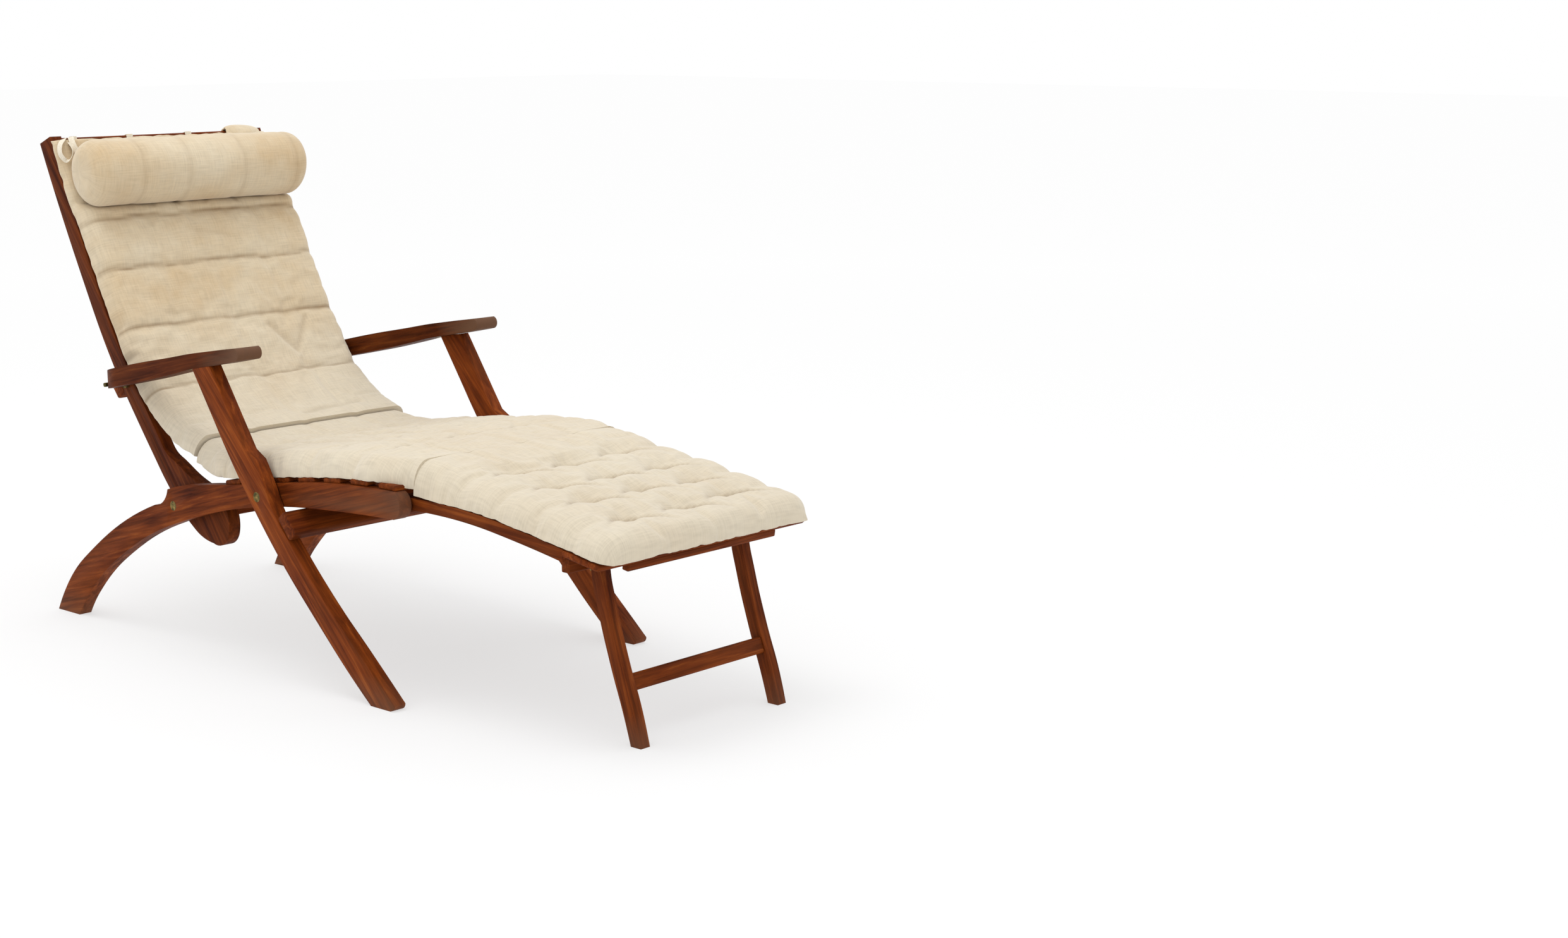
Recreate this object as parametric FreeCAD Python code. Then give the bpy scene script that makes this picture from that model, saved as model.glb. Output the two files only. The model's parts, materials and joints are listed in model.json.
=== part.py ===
"""Folding steamer deck chair in teak with a quilted mattress, modelled at real size in millimetres.

The chair stands on z = 0, the foot end points to -Y, the head end to +Y, and x = 0 is its middle plane.
Left and right are the sitter's, so left is +X. Each side is a four-bar linkage of seat rail, front leg,
arm and back stile, drawn in the side plane as (y, z) pairs.
"""
import FreeCAD
import Part
import math
import os

from FreeCAD import Vector

os.makedirs("parts", exist_ok=True)

# Members across the chair, from the outside in
HALF_WIDTH = 303.0
POST_THICKNESS = 26.0
RAIL_THICKNESS = 26.0
STILE_THICKNESS = 25.0
WASHER_GAP = 3.0
REST_GAP = 5.0
REST_RAIL_THICKNESS = 21.0
REST_LEG_INSET = 46.0
REST_LEG_THICKNESS = 21.0
ARM_WIDTH = 52.0

# Linkage pivots in the side plane
LEG_PIVOT_Y = 50.0
LEG_PIVOT_Z = 322.0
LINK_RUN = 174.0
LINK_RISE = 210.0
GROUND_RUN = 295.0
GROUND_DROP = 60.0

# Reach and rise of the curved members in the side plane
NOSE_REACH = 337.0
NOSE_RISE = 25.5
SPUR_REACH = 95.0
REAR_LEG_REACH = 378.0
REAR_SOLE_Y = 332.0
REAR_SOLE_LENGTH = 73.0
BACK_REACH = 407.0
BACK_RISE = 654.0
HEEL_REACH = 129.0
FRONT_LEG_REACH = 349.0
FRONT_SOLE_LENGTH = 49.0
SWELL_RISE = 65.0
POST_STRAIGHT = 170.0
POST_STEP = 20.0
ARM_REACH = 127.0
ARM_TIP_RISE = 24.9
ARM_HOLLOW = 7.0
ARM_TAIL = 35.0
ARM_SKIN = 10.0

# Depths of the curved members, seen from the side
NOSE_DEPTH = 48.0
RAIL_DEPTH = 42.0
REAR_LEG_DEPTH = 48.0
REAR_FOOT_DEPTH = 62.0
STILE_DEPTH = 38.0
POST_DEPTH = 48.0
LEG_DEPTH = 44.0
ARM_TIP_DEPTH = 23.0
ARM_NOSE = 9.5
ARM_MID_DEPTH = 27.5
ARM_REAR_DEPTH = 35.0
REST_RAIL_DEPTH = 20.5
REST_LEG_DEPTH = 24.0
TOE_RADIUS = 11.0
EASED_EDGE = 2.5

# Cross members
CROSS_RAIL_WIDTH = 48.0
CROSS_RAIL_THICKNESS = 25.0
CROSS_RAIL_EASING = 6.0
CROSS_RAIL_DOWN = 85.4
SEAT_BAR_WIDTH = 25.0
SEAT_BAR_HEIGHT = 25.0
BACK_BAR_WIDTH = 34.0
BACK_BAR_THICKNESS = 28.0
TOP_RAIL_WIDTH = 30.0
TOP_RAIL_THICKNESS = 22.0
HEEL_BAR_WIDTH = 44.0
HEEL_BAR_THICKNESS = 22.0
HOUSING = 1.0

# Slats
SEAT_SLAT_WIDTH = 46.0
SEAT_SLAT_PITCH = 72.0
SLAT_THICKNESS = 10.0
SLAT_INSET = 6.0
BACK_SLATS = 5
BACK_SLAT_WIDTH = 56.0
REST_SLATS = 5
REST_SLAT_WIDTH = 44.0
REST_SLAT_PITCH = 72.0
REST_SLAT_START = 78.0

# Leg rest
FOOT_SLAT_WIDTH = 84.0
FOOT_SLAT_THICKNESS = 10.0
FOOT_SLAT_OVERHANG = 3.0
FOOT_RAIL_HEIGHT = 12.5
FOOT_RAIL_THICKNESS = 14.0
APRON_THICKNESS = 18.0
REST_HINGE_SETBACK = 90.0
REST_HINGE_Z = 279.0
REST_END_Y = -745.0
REST_START_Y = -245.0
REST_START_Z = 344.0
REST_DROP = 31.4
REST_LEG_SPREAD = 109.0
REST_LEG_HEAD = 28.0
REST_TRAVEL = 360.0
REST_SLOPE = 0.065
STRETCHER_WIDTH = 28.0
STRETCHER_THICKNESS = 20.0
STRETCHER_Z = 98.0

# Brass fittings
BOLT_RADIUS = 4.0
BOLT_HEAD_RADIUS = 9.0
BOLT_HEAD_HEIGHT = 2.5
WASHER_RADIUS = 11.0
GUIDE_PIN_RADIUS = 3.0
GUIDE_GROOVE_DEPTH = 6.0
KNUCKLE_RADIUS = 3.2
HINGE_PIN_RADIUS = 1.6
LEAF_THICKNESS = 1.6
LEAF_WIDTH = 20.0
HINGE_LENGTH = 19.0

# Mattress
PAD_COLUMNS = 4
PAD_THICKNESS = 46.0
PAD_BRIDGE = 12.0
FLAP_THICKNESS = 14.0
FLAP_SHARE = 0.24
PAD_OVERHANG = 19.0
SEAT_PAD_INSET = 12.0
ARM_TO_PAD = 6.0
ROLL_RADIUS = 58.0
ROLL_SHARE = 0.838
TIE_WIDTH = 14.0
TIE_THICKNESS = 1.2

# Clearances
RUNNING_FIT = 0.08
OPEN_PIVOT_PLAY = 0.6
SIDE_CLEARANCE = 0.3
RECESS_FIT = 0.05
PAD_GAP = 0.6
BACK_PAD_GAP = 3.0

# Planes and points that follow from the sizes above
POST_IN = HALF_WIDTH - POST_THICKNESS
RAIL_OUT = POST_IN - WASHER_GAP
RAIL_IN = RAIL_OUT - RAIL_THICKNESS
STILE_OUT = RAIL_IN - WASHER_GAP
STILE_IN = STILE_OUT - STILE_THICKNESS
REST_RAIL_OUT = RAIL_IN - REST_GAP
REST_RAIL_IN = REST_RAIL_OUT - REST_RAIL_THICKNESS
REST_LEG_OUT = REST_RAIL_IN - REST_LEG_INSET
REST_LEG_IN = REST_LEG_OUT - REST_LEG_THICKNESS
ARM_IN = HALF_WIDTH - ARM_WIDTH
LEG_PIVOT = (LEG_PIVOT_Y, LEG_PIVOT_Z)
ARM_HINGE = (LEG_PIVOT_Y + LINK_RUN, LEG_PIVOT_Z + LINK_RISE)
BACK_PIVOT = (LEG_PIVOT_Y + GROUND_RUN, LEG_PIVOT_Z - GROUND_DROP)
ARM_PIN = (BACK_PIVOT[0] + LINK_RUN, BACK_PIVOT[1] + LINK_RISE)
REST_HINGE = (REST_END_Y + REST_HINGE_SETBACK, REST_HINGE_Z)


def at(point, x=0.0):
    """A point of the side plane as a vector."""
    return Vector(x, point[0], point[1])


def moved(point, run=0.0, rise=0.0):
    return (point[0] + run, point[1] + rise)


def unit(step):
    length = math.hypot(*step)
    return (step[0] / length, step[1] / length)


def arc_from(start, heading, end):
    """The arc that leaves its start along a heading, or a straight edge where it hardly bends."""
    chord = (end[0] - start[0], end[1] - start[1])
    along = unit(chord)
    cosine = heading[0] * along[0] + heading[1] * along[1]
    half = math.hypot(*chord) / 2 / (1 + cosine)
    bow = ((heading[0] - cosine * along[0]) * half, (heading[1] - cosine * along[1]) * half)
    if math.hypot(*bow) < 0.002:
        return Part.LineSegment(at(start), at(end)).toShape()
    middle = ((start[0] + end[0]) / 2 + bow[0], (start[1] + end[1]) / 2 + bow[1])
    return arc_edge(start, middle, end)


def headings_of(points):
    """Directions of a smooth outline at its points, each that of the circle through its neighbours."""
    steps = [(b[0] - a[0], b[1] - a[1]) for a, b in zip(points, points[1:])]
    headings = []
    for before, after in zip(steps, steps[1:]):
        first, second = math.hypot(*before), math.hypot(*after)
        headings.append(unit((before[0] * second / first + after[0] * first / second,
                              before[1] * second / first + after[1] * first / second)))
    ends = ((0, unit(steps[0]), headings[0]), (len(points), unit(steps[-1]), headings[-1]))
    for place, step, heading in ends:
        share = 2 * (step[0] * heading[0] + step[1] * heading[1])
        headings.insert(place, (share * step[0] - heading[0], share * step[1] - heading[1]))
    return headings


def run(points):
    """A straight edge through two points, tangent arcs, two to a span, through more."""
    if len(points) == 2:
        return [Part.LineSegment(at(points[0]), at(points[1])).toShape()]
    edges = []
    headings = headings_of(points)
    for start, end, leave, arrive in zip(points, points[1:], headings, headings[1:]):
        chord = (end[0] - start[0], end[1] - start[1])
        both = chord[0] * (leave[0] + arrive[0]) + chord[1] * (leave[1] + arrive[1])
        spread = 1 - leave[0] * arrive[0] - leave[1] * arrive[1]
        square = chord[0] ** 2 + chord[1] ** 2
        reach = square / both
        if spread > 1e-6:
            reach = (math.sqrt(both ** 2 + 2 * spread * square) - both) / (2 * spread)
        middle = ((start[0] + end[0] + reach * (leave[0] - arrive[0])) / 2,
                  (start[1] + end[1] + reach * (leave[1] - arrive[1])) / 2)
        edges.append(arc_from(start, leave, middle))
        edges.append(arc_from(end, (-arrive[0], -arrive[1]), middle))
    return edges


def arc_edge(start, middle, end):
    return Part.Arc(at(start), at(middle), at(end)).toShape()


def slab(edges, x_from, x_to):
    """The closed outline as a plate between two planes across the chair."""
    face = Part.Face(Part.Wire(Part.__sortEdges__(edges)))
    face.translate(Vector(x_from, 0, 0))
    return face.extrude(Vector(x_to - x_from, 0, 0))


def sides_of(path):
    """Upper and lower edge points of a bar whose path is (y, z, depth), read along the path."""
    upper = []
    lower = []
    last = len(path) - 1
    for index, (y, z, depth) in enumerate(path):
        before = path[max(index - 1, 0)]
        after = path[min(index + 1, last)]
        length = math.hypot(after[0] - before[0], after[1] - before[1])
        normal = ((before[1] - after[1]) / length, (after[0] - before[0]) / length)
        half = depth / 2
        upper.append((y + normal[0] * half, z + normal[1] * half))
        lower.append((y - normal[0] * half, z - normal[1] * half))
    return upper, lower


def sparse(points):
    """Every second point of a gentle outline, with both its ends."""
    return points[:-1][::2] + points[-1:]


def bent_bar(path, x_from, x_to):
    """A bar of varying depth that follows a smooth path in the side plane."""
    upper, lower = [sparse(side) for side in sides_of(path)]
    edges = run(upper) + run([upper[-1], lower[-1]]) + run(lower) + run([lower[0], upper[0]])
    return slab(edges, x_from, x_to)


def centre_line(path):
    curve = Part.BSplineCurve()
    curve.interpolate([at(point[:2]) for point in path])
    return curve


def station(curve, share):
    """Point and unit direction at a share of a curve's parameter range."""
    value = curve.FirstParameter + share * (curve.LastParameter - curve.FirstParameter)
    tangent = curve.tangent(value)[0]
    point = curve.value(value)
    return (point.y, point.z), (tangent.y, tangent.z)


def batten(centre, direction, width, thickness, x_from, x_to, easing=0.0, rounding=0.0):
    """A rectangular cross piece: its width lies along the direction, its thickness across it."""
    solid = Part.makeBox(x_to - x_from, width, thickness)
    solid.translate(Vector(x_from, -width / 2, -thickness / 2))
    if easing:
        solid = solid.makeChamfer(easing, lengthwise_edges(solid))
    if rounding:
        solid = solid.makeFillet(rounding, lengthwise_edges(solid))
    angle = math.degrees(math.atan2(direction[1], direction[0]))
    solid.rotate(Vector(0, 0, 0), Vector(1, 0, 0), angle)
    solid.translate(at(centre))
    return solid


def lengthwise_edges(solid):
    """The straight edges that run across the chair."""
    found = []
    for edge in solid.Edges:
        ends = edge.Vertexes
        if len(ends) == 2 and abs(ends[0].X - ends[1].X) > 1.0:
            found.append(edge)
    return found


def pin(point, radius, x_from, x_to):
    return Part.makeCylinder(radius, x_to - x_from, at(point, x_from), Vector(1, 0, 0))


def mirrored(solid):
    return solid.mirror(Vector(0, 0, 0), Vector(1, 0, 0))


def one_solid(shape):
    """The largest solid of a boolean result, without its seams."""
    largest = max(shape.Solids, key=lambda solid: solid.Volume)
    return largest.removeSplitter()


PIECES = {}


def keep(name, *solids):
    PIECES[name] = solids[0] if len(solids) == 1 else Part.makeCompound(list(solids))


def keep_pair(name, solid):
    """A left piece and its mirrored right twin, each in its own node."""
    keep("left_" + name, solid)
    keep("right_" + name, mirrored(solid))


def keep_both(name, solid):
    """Identical small parts of both sides as separate solids of one node."""
    keep(name, solid, mirrored(solid))


# Paths of the curved members: y, z and depth in the side plane

def shaped(origin, reach, rise, shares):
    """Points given as shares of a reach and a rise from an origin."""
    return [moved(origin, reach * along, rise * up) for along, up in shares]


def rail_path():
    """From the nose of the seat rail to just below the floor at the rear foot."""
    nose = shaped(LEG_PIVOT, -NOSE_REACH, NOSE_RISE,
                  [(1, 0.98), (0.8605, 1), (0.5935, 0.804), (0.2967, 0.431)])
    span = shaped(BACK_PIVOT, -GROUND_RUN, GROUND_DROP, [(1, 0.99), (0.661, 0.717), (0.254, 0.267)])
    depths = [NOSE_DEPTH - 1, NOSE_DEPTH, NOSE_DEPTH, (NOSE_DEPTH + RAIL_DEPTH) / 2, RAIL_DEPTH,
              RAIL_DEPTH + 1, REAR_LEG_DEPTH + 2]
    path = [(*point, depth) for point, depth in zip(nose + span, depths)]
    leg = [(0.13, 0.893, 0), (0.3624, 0.739, 0), (0.598, 0.542, 0.25), (0.7791, 0.338, 0.65),
           (0.8968, 0.166, 0.95), (1, -0.05, 1.1)]
    for along, height, foot in leg:
        depth = REAR_LEG_DEPTH + foot * (REAR_FOOT_DEPTH - REAR_LEG_DEPTH)
        path.append((BACK_PIVOT[0] + REAR_LEG_REACH * along, BACK_PIVOT[1] * height, depth))
    return path


def stile_path():
    """From the back pivot to the top of the back."""
    shares = [(0, 0), (0.221, 0.153), (0.3538, 0.2584), (0.4889, 0.3792), (0.629, 0.5306), (0.7592, 0.6835),
              (0.8894, 0.8349), (1, 1)]
    return [(*point, STILE_DEPTH) for point in shaped(BACK_PIVOT, BACK_REACH, BACK_RISE, shares)]


def post_path():
    """From below the front foot to above the arm, with the rear edge of its straight top on the hinge."""
    foot = [(1, -0.045, 8), (0.7536, 0.186, 5), (0.4928, 0.435, 0), (0.2579, 0.683, 0), (0.0573, 0.932, 2)]
    path = [(LEG_PIVOT_Y - FRONT_LEG_REACH * along, LEG_PIVOT_Z * height, LEG_DEPTH + extra)
            for along, height, extra in foot]
    lean = POST_LEAN
    for down in (POST_STRAIGHT, POST_STRAIGHT / 2, -POST_DEPTH / 2):
        rear = moved(ARM_HINGE, -lean[0] * down, -lean[1] * down)
        path.append((*moved(rear, -lean[1] * POST_DEPTH / 2, lean[0] * POST_DEPTH / 2), POST_DEPTH))
    return path


POST_LEAN = (math.sin(math.radians(34)), math.cos(math.radians(34)))


def arm_path():
    """Underside of the arm as y, z and the depth above it, from the nose past the hinge and the pin."""
    front = shaped(ARM_HINGE, -ARM_REACH, ARM_TIP_RISE, [(1, 1), (0.583, 0.562), (0, 0)])
    rear = shaped(ARM_HINGE, GROUND_RUN, -GROUND_DROP, [(0.2576, 0.2576), (0.529, 0.529), (0.8, 0.8), (1, 1)])
    bows = [ARM_HOLLOW / 2, ARM_HOLLOW * 0.9, ARM_HOLLOW, ARM_HOLLOW + 0.23 * ARM_TAIL]
    rear = [moved(point, 0, -bow) for point, bow in zip(rear, bows)]
    rear[-1] = moved(rear[-1], ARM_TAIL)
    depths = [ARM_TIP_DEPTH, (ARM_TIP_DEPTH + ARM_MID_DEPTH) / 2, ARM_MID_DEPTH,
              (ARM_MID_DEPTH + ARM_REAR_DEPTH) / 2, ARM_REAR_DEPTH, ARM_REAR_DEPTH, ARM_REAR_DEPTH - 2]
    return [(*point, depth) for point, depth in zip(front + rear, depths)]


def rest_path():
    """From the rear end of the leg rest's side rail to the foot slat it butts against."""
    start = (REST_START_Y, REST_START_Z)
    length = REST_START_Y - REST_END_Y - FOOT_SLAT_WIDTH
    shares = [(0, 0), (0.18, -0.016), (0.3726, -0.064), (0.613, 0.191), (0.853, 0.669), (0.952, 0.892),
              (1, 1)]
    return [(*point, REST_RAIL_DEPTH) for point in shaped(start, -length, -REST_DROP, shares)]


def rest_leg_path():
    """From above the hinge to near the floor; the leg bows slightly forward."""
    half = REST_LEG_DEPTH / 2 + 0.7
    path = [moved(REST_HINGE, -half, REST_LEG_HEAD), moved(REST_HINGE, -half, REST_LEG_HEAD / 7)]
    path += shaped(REST_HINGE, -REST_LEG_SPREAD, -REST_HINGE_Z,
                   [(0.266, 0.247), (0.495, 0.534), (0.761, 0.821)])
    return [(*point, REST_LEG_DEPTH) for point in path]


# Seat frame

def slat_places():
    """Centre and direction of each seat slat on the rails' top edge, as many as the pitch fits there."""
    upper, lower = sides_of(rail_path())
    curve = centre_line(upper[:7])
    last = LEG_PIVOT_Y + GROUND_RUN * 0.4
    front = LEG_PIVOT_Y - NOSE_REACH - NOSE_DEPTH / 4
    pitches = int((last - SEAT_SLAT_WIDTH / 2 - front) / SEAT_SLAT_PITCH)
    places = []
    for index in range(pitches + 1):
        y = last - (pitches - index) * SEAT_SLAT_PITCH
        value = curve.parameter(Vector(0, y, LEG_PIVOT_Z + RAIL_DEPTH / 2 - HOUSING))
        tangent = curve.tangent(value)[0]
        point = curve.value(value)
        direction = (tangent.y, tangent.z)
        lift = SLAT_THICKNESS / 2 - HOUSING
        centre = moved((point.y, point.z), -direction[1] * lift, direction[0] * lift)
        places.append((centre, direction))
    return places


def seat_slats():
    half = RAIL_OUT - SLAT_INSET
    return [batten(centre, direction, SEAT_SLAT_WIDTH, SLAT_THICKNESS, -half, half, EASED_EDGE)
            for centre, direction in slat_places()]


def guide_groove():
    """The straight groove inside the seat rail that the leg rest's guide pin runs in."""
    start = guide_pin_point()
    travel = (REST_TRAVEL * guide_direction()[0], REST_TRAVEL * guide_direction()[1])
    middle = moved(start, travel[0] / 2, travel[1] / 2)
    width = 2 * (GUIDE_PIN_RADIUS + RUNNING_FIT)
    length = REST_TRAVEL
    x_to = RAIL_IN + GUIDE_GROOVE_DEPTH
    slot = batten(middle, guide_direction(), length, width, RAIL_IN - 1, x_to)
    ends = [start, moved(start, *travel)]
    for end in ends:
        slot = slot.fuse(pin(end, width / 2, RAIL_IN - 1, x_to))
    return slot


def guide_direction():
    length = math.hypot(1, REST_SLOPE)
    return (1 / length, -REST_SLOPE / length)


def guide_pin_point():
    return (REST_START_Y - 8, rest_path()[0][1])


def seat_rail_edges():
    """The outline of seat rail and rear leg in one, with a short spur behind the back stile."""
    upper, lower = sides_of(rail_path())
    nose_tip = moved(LEG_PIVOT, -NOSE_REACH - NOSE_DEPTH / 3, NOSE_RISE)
    spur = shaped(BACK_PIVOT, SPUR_REACH, SPUR_REACH,
                  [(-1, 0.542), (-0.158, 0.4), (0.168, 0.305), (0.284, 0.084)])
    heel = (BACK_PIVOT[0] + REAR_SOLE_Y, 0)
    sole = [moved(heel, REAR_SOLE_LENGTH), heel]
    edges = [arc_edge(lower[0], nose_tip, upper[0])]
    edges += run(sparse(upper[:6]) + spur[:3]) + [arc_edge(spur[2], spur[3], upper[7])]
    return edges + run(sparse(upper[7:-1]) + sole[:1]) + run(sole) + run(sparse(lower[:-1]) + sole[1:])


def seat_rail():
    rail = slab(seat_rail_edges(), RAIL_IN, RAIL_OUT)
    for slat in seat_slats():
        rail = rail.cut(slat)
    rail = rail.cut(guide_groove())
    rail = rail.cut(pin(LEG_PIVOT, BOLT_RADIUS + RUNNING_FIT, RAIL_IN - 1, RAIL_OUT + 1))
    rail = rail.cut(pin(BACK_PIVOT, BOLT_RADIUS, RAIL_IN - 1, RAIL_OUT + 1))
    rail = rail.cut(pin(BACK_PIVOT, BOLT_HEAD_RADIUS, RAIL_OUT - BOLT_HEAD_HEIGHT, RAIL_OUT + 1))
    return one_solid(rail)


def seat_frame():
    keep_pair("seat_rail", seat_rail())
    for index, slat in enumerate(seat_slats()):
        keep("seat_slat_%d" % (index + 1), slat)
    bar_centre = moved(LEG_PIVOT, GROUND_RUN * 0.383, -SEAT_BAR_HEIGHT)
    direction = (GROUND_RUN, -GROUND_DROP)
    keep("rear_seat_crossbar",
         batten(bar_centre, direction, SEAT_BAR_WIDTH, SEAT_BAR_HEIGHT, -RAIL_IN, RAIL_IN, EASED_EDGE))


# Back frame

def stile_edges():
    """The stile's outline: a slim curved bar whose lower end is flared forward and rounded."""
    upper, lower = sides_of(stile_path()[1:])
    flare = shaped(BACK_PIVOT, HEEL_REACH, HEEL_REACH,
                   [(0.473, 0.721), (0.163, 0.55), (-0.132, 0.403), (-0.465, 0.287), (-0.868, 0.14)])
    nose = shaped(BACK_PIVOT, HEEL_REACH, HEEL_REACH, [(-0.868, 0.14), (-0.984, -0.039), (-1, -0.271)])
    tail = shaped(BACK_PIVOT, HEEL_REACH, HEEL_REACH, [(-1, -0.271), (-0.899, -0.45), (-0.62, -0.496)])
    heel = shaped(BACK_PIVOT, HEEL_REACH, HEEL_REACH,
                  [(-0.62, -0.496), (-0.364, -0.442), (-0.047, -0.256), (0.434, 0.217)])
    front = sparse(list(reversed(upper)))
    edges = run(front + flare) + run(heel + sparse(lower)) + run([upper[-1], lower[-1]])
    return edges + [arc_edge(*nose), arc_edge(*tail)]


def stile():
    solid = slab(stile_edges(), STILE_IN, STILE_OUT)
    solid = solid.cut(pin(BACK_PIVOT, BOLT_RADIUS + RUNNING_FIT, STILE_IN - 1, STILE_OUT + 1))
    solid = solid.cut(pin(ARM_PIN, BOLT_RADIUS, STILE_IN - 1, STILE_OUT + 1))
    return one_solid(solid.cut(back_crossbar()))


def back_crossbar():
    """The bar behind both stiles at the height of the arms."""
    lean = (LINK_RUN, LINK_RISE)
    length = math.hypot(*lean)
    along = (lean[0] / length, lean[1] / length)
    away = STILE_DEPTH / 2 + BACK_BAR_THICKNESS / 2 - HOUSING
    up = BACK_BAR_WIDTH / 2 - 2 * BOLT_RADIUS
    centre = moved(ARM_PIN, along[1] * away + along[0] * up, -along[0] * away + along[1] * up)
    return batten(centre, along, BACK_BAR_WIDTH, BACK_BAR_THICKNESS, -STILE_OUT, STILE_OUT, EASED_EDGE)


def front_offset(place, setback, thickness):
    """Centre of a cross piece that lies just inside the front face of the stiles."""
    point, direction = place
    out = STILE_DEPTH / 2 - setback - thickness / 2
    return moved(point, -direction[1] * out, direction[0] * out)


def top_rail_place():
    """Centre and direction of the rail between the upper ends of the stiles."""
    end, direction = station(centre_line(stile_path()[1:]), 1.0)
    inward = TOP_RAIL_WIDTH / 2 + 1
    place = (moved(end, -direction[0] * inward, -direction[1] * inward), direction)
    return front_offset(place, 2.0, TOP_RAIL_THICKNESS), direction


def back_frame():
    keep_pair("back_stile", stile())
    keep("back_crossbar", back_crossbar())
    curve = centre_line(stile_path()[1:])
    first = 0.14
    pitch = (0.84 - first) / (BACK_SLATS - 1)
    for index in range(BACK_SLATS):
        place = station(curve, first + index * pitch)
        centre = front_offset(place, 2.0, SLAT_THICKNESS)
        slat = batten(centre, place[1], BACK_SLAT_WIDTH, SLAT_THICKNESS, -STILE_IN, STILE_IN, EASED_EDGE)
        keep("back_slat_%d" % (index + 1), slat)
    keep("back_top_rail",
         batten(*top_rail_place(), TOP_RAIL_WIDTH, TOP_RAIL_THICKNESS, -STILE_IN, STILE_IN, EASED_EDGE))
    lower_centre = shaped(BACK_PIVOT, HEEL_REACH, HEEL_REACH, [(-0.48, -0.062)])[0]
    keep("back_lower_rail",
         batten(lower_centre, (GROUND_RUN, -GROUND_DROP / 4), HEEL_BAR_WIDTH, HEEL_BAR_THICKNESS,
                -STILE_IN, STILE_IN, EASED_EDGE))


# Front legs and arms

def arm_runs(drop=0.0):
    """Underside and top of the arm as point lists; the underside can be lowered by a clearance."""
    under = [(y, z - drop) for y, z, depth in arm_path()]
    over = [(y, z + depth) for y, z, depth in arm_path()]
    return under, over


def above_arm_underside():
    """Everything above the arm's underside, lowered by the side clearance."""
    under, over = arm_runs(SIDE_CLEARANCE)
    high = ARM_REACH * 2
    corners = [moved(under[-1], 0, high), moved(under[0], 0, high)]
    edges = run(under) + run([under[-1], corners[0]]) + run(corners) + run([corners[1], under[0]])
    return slab(edges, 0, HALF_WIDTH + 10)


def front_leg_edges():
    """The leg's outline: a bowed foot, a swelling at the seat that ends in a step, a straight post."""
    front, rear = sides_of(post_path())
    swell, step_out = shaped(LEG_PIVOT, SWELL_RISE, SWELL_RISE, [(-0.385, 0.292), (0.031, 1)])
    corner = moved(ARM_HINGE, -POST_LEAN[1] * POST_DEPTH, POST_LEAN[0] * POST_DEPTH)
    down = POST_STRAIGHT + POST_STEP
    step_in = moved(corner, -POST_LEAN[0] * down, -POST_LEAN[1] * down)
    sole = (LEG_PIVOT_Y - FRONT_LEG_REACH + 3, 0)
    heel = moved(sole, FRONT_SOLE_LENGTH)
    round_off = math.sqrt(0.5) * TOE_RADIUS
    toe = [sole, moved(sole, -round_off, TOE_RADIUS - round_off), moved(sole, -TOE_RADIUS, TOE_RADIUS)]
    edges = [arc_edge(*toe)] + run([toe[-1]] + front[1:5] + [swell, step_out])
    edges += run([step_out, step_in]) + run([step_in, front[-1]]) + run([front[-1], rear[-1]])
    return edges + run([heel] + rear[1:]) + run([heel, toe[0]])


def cross_rail_place():
    """Centre and direction of the cross rail that lies on the front edges of the front legs."""
    direction = (0.664, 0.748)
    out = LEG_DEPTH / 2 + CROSS_RAIL_THICKNESS / 2 + 0.7
    return moved(LEG_PIVOT, -direction[0] * CROSS_RAIL_DOWN - direction[1] * out,
                 -direction[1] * CROSS_RAIL_DOWN + direction[0] * out), direction


def front_cross_rail():
    centre, direction = cross_rail_place()
    return batten(centre, direction, CROSS_RAIL_WIDTH, CROSS_RAIL_THICKNESS, -HALF_WIDTH, HALF_WIDTH,
                  rounding=CROSS_RAIL_EASING)


def front_leg():
    leg = slab(front_leg_edges(), POST_IN, HALF_WIDTH)
    leg = leg.cut(above_arm_underside())
    leg = leg.cut(front_cross_rail())
    leg = leg.cut(pin(LEG_PIVOT, BOLT_RADIUS, POST_IN - 1, HALF_WIDTH + 1))
    leg = leg.cut(pin(LEG_PIVOT, BOLT_HEAD_RADIUS, HALF_WIDTH - BOLT_HEAD_HEIGHT, HALF_WIDTH + 1))
    leg = leg.cut(hinge_recess(ARM_HINGE, POST_MIDDLE, POST_LEAF))
    return one_solid(leg)


def arm_plan():
    """The arm seen from above: straight sides, square front corners, rounded rear."""
    front = ARM_HINGE[0] - ARM_REACH - ARM_NOSE
    rear = ARM_PIN[0] + ARM_TAIL - ARM_NOSE
    shoulder_y = rear - ARM_WIDTH * 1.48
    low = ARM_PIN[1] - ARM_REACH
    corners = [(HALF_WIDTH, shoulder_y), (HALF_WIDTH, front), (ARM_IN, front), (ARM_IN, rear)]
    points = [Vector(x, y, low) for x, y in corners]
    edges = [Part.LineSegment(points[i], points[i + 1]).toShape() for i in range(3)]
    radius = (ARM_WIDTH ** 2 + (rear - shoulder_y) ** 2) / (2 * ARM_WIDTH)
    half_turn = math.atan2(rear - shoulder_y, radius - ARM_WIDTH) / 2
    swell = Vector(HALF_WIDTH - radius * (1 - math.cos(half_turn)),
                   shoulder_y + radius * math.sin(half_turn), low)
    edges.append(Part.Arc(points[3], swell, points[0]).toShape())
    return Part.Face(Part.Wire(edges)).extrude(Vector(0, 0, 3 * ARM_REACH))


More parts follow.
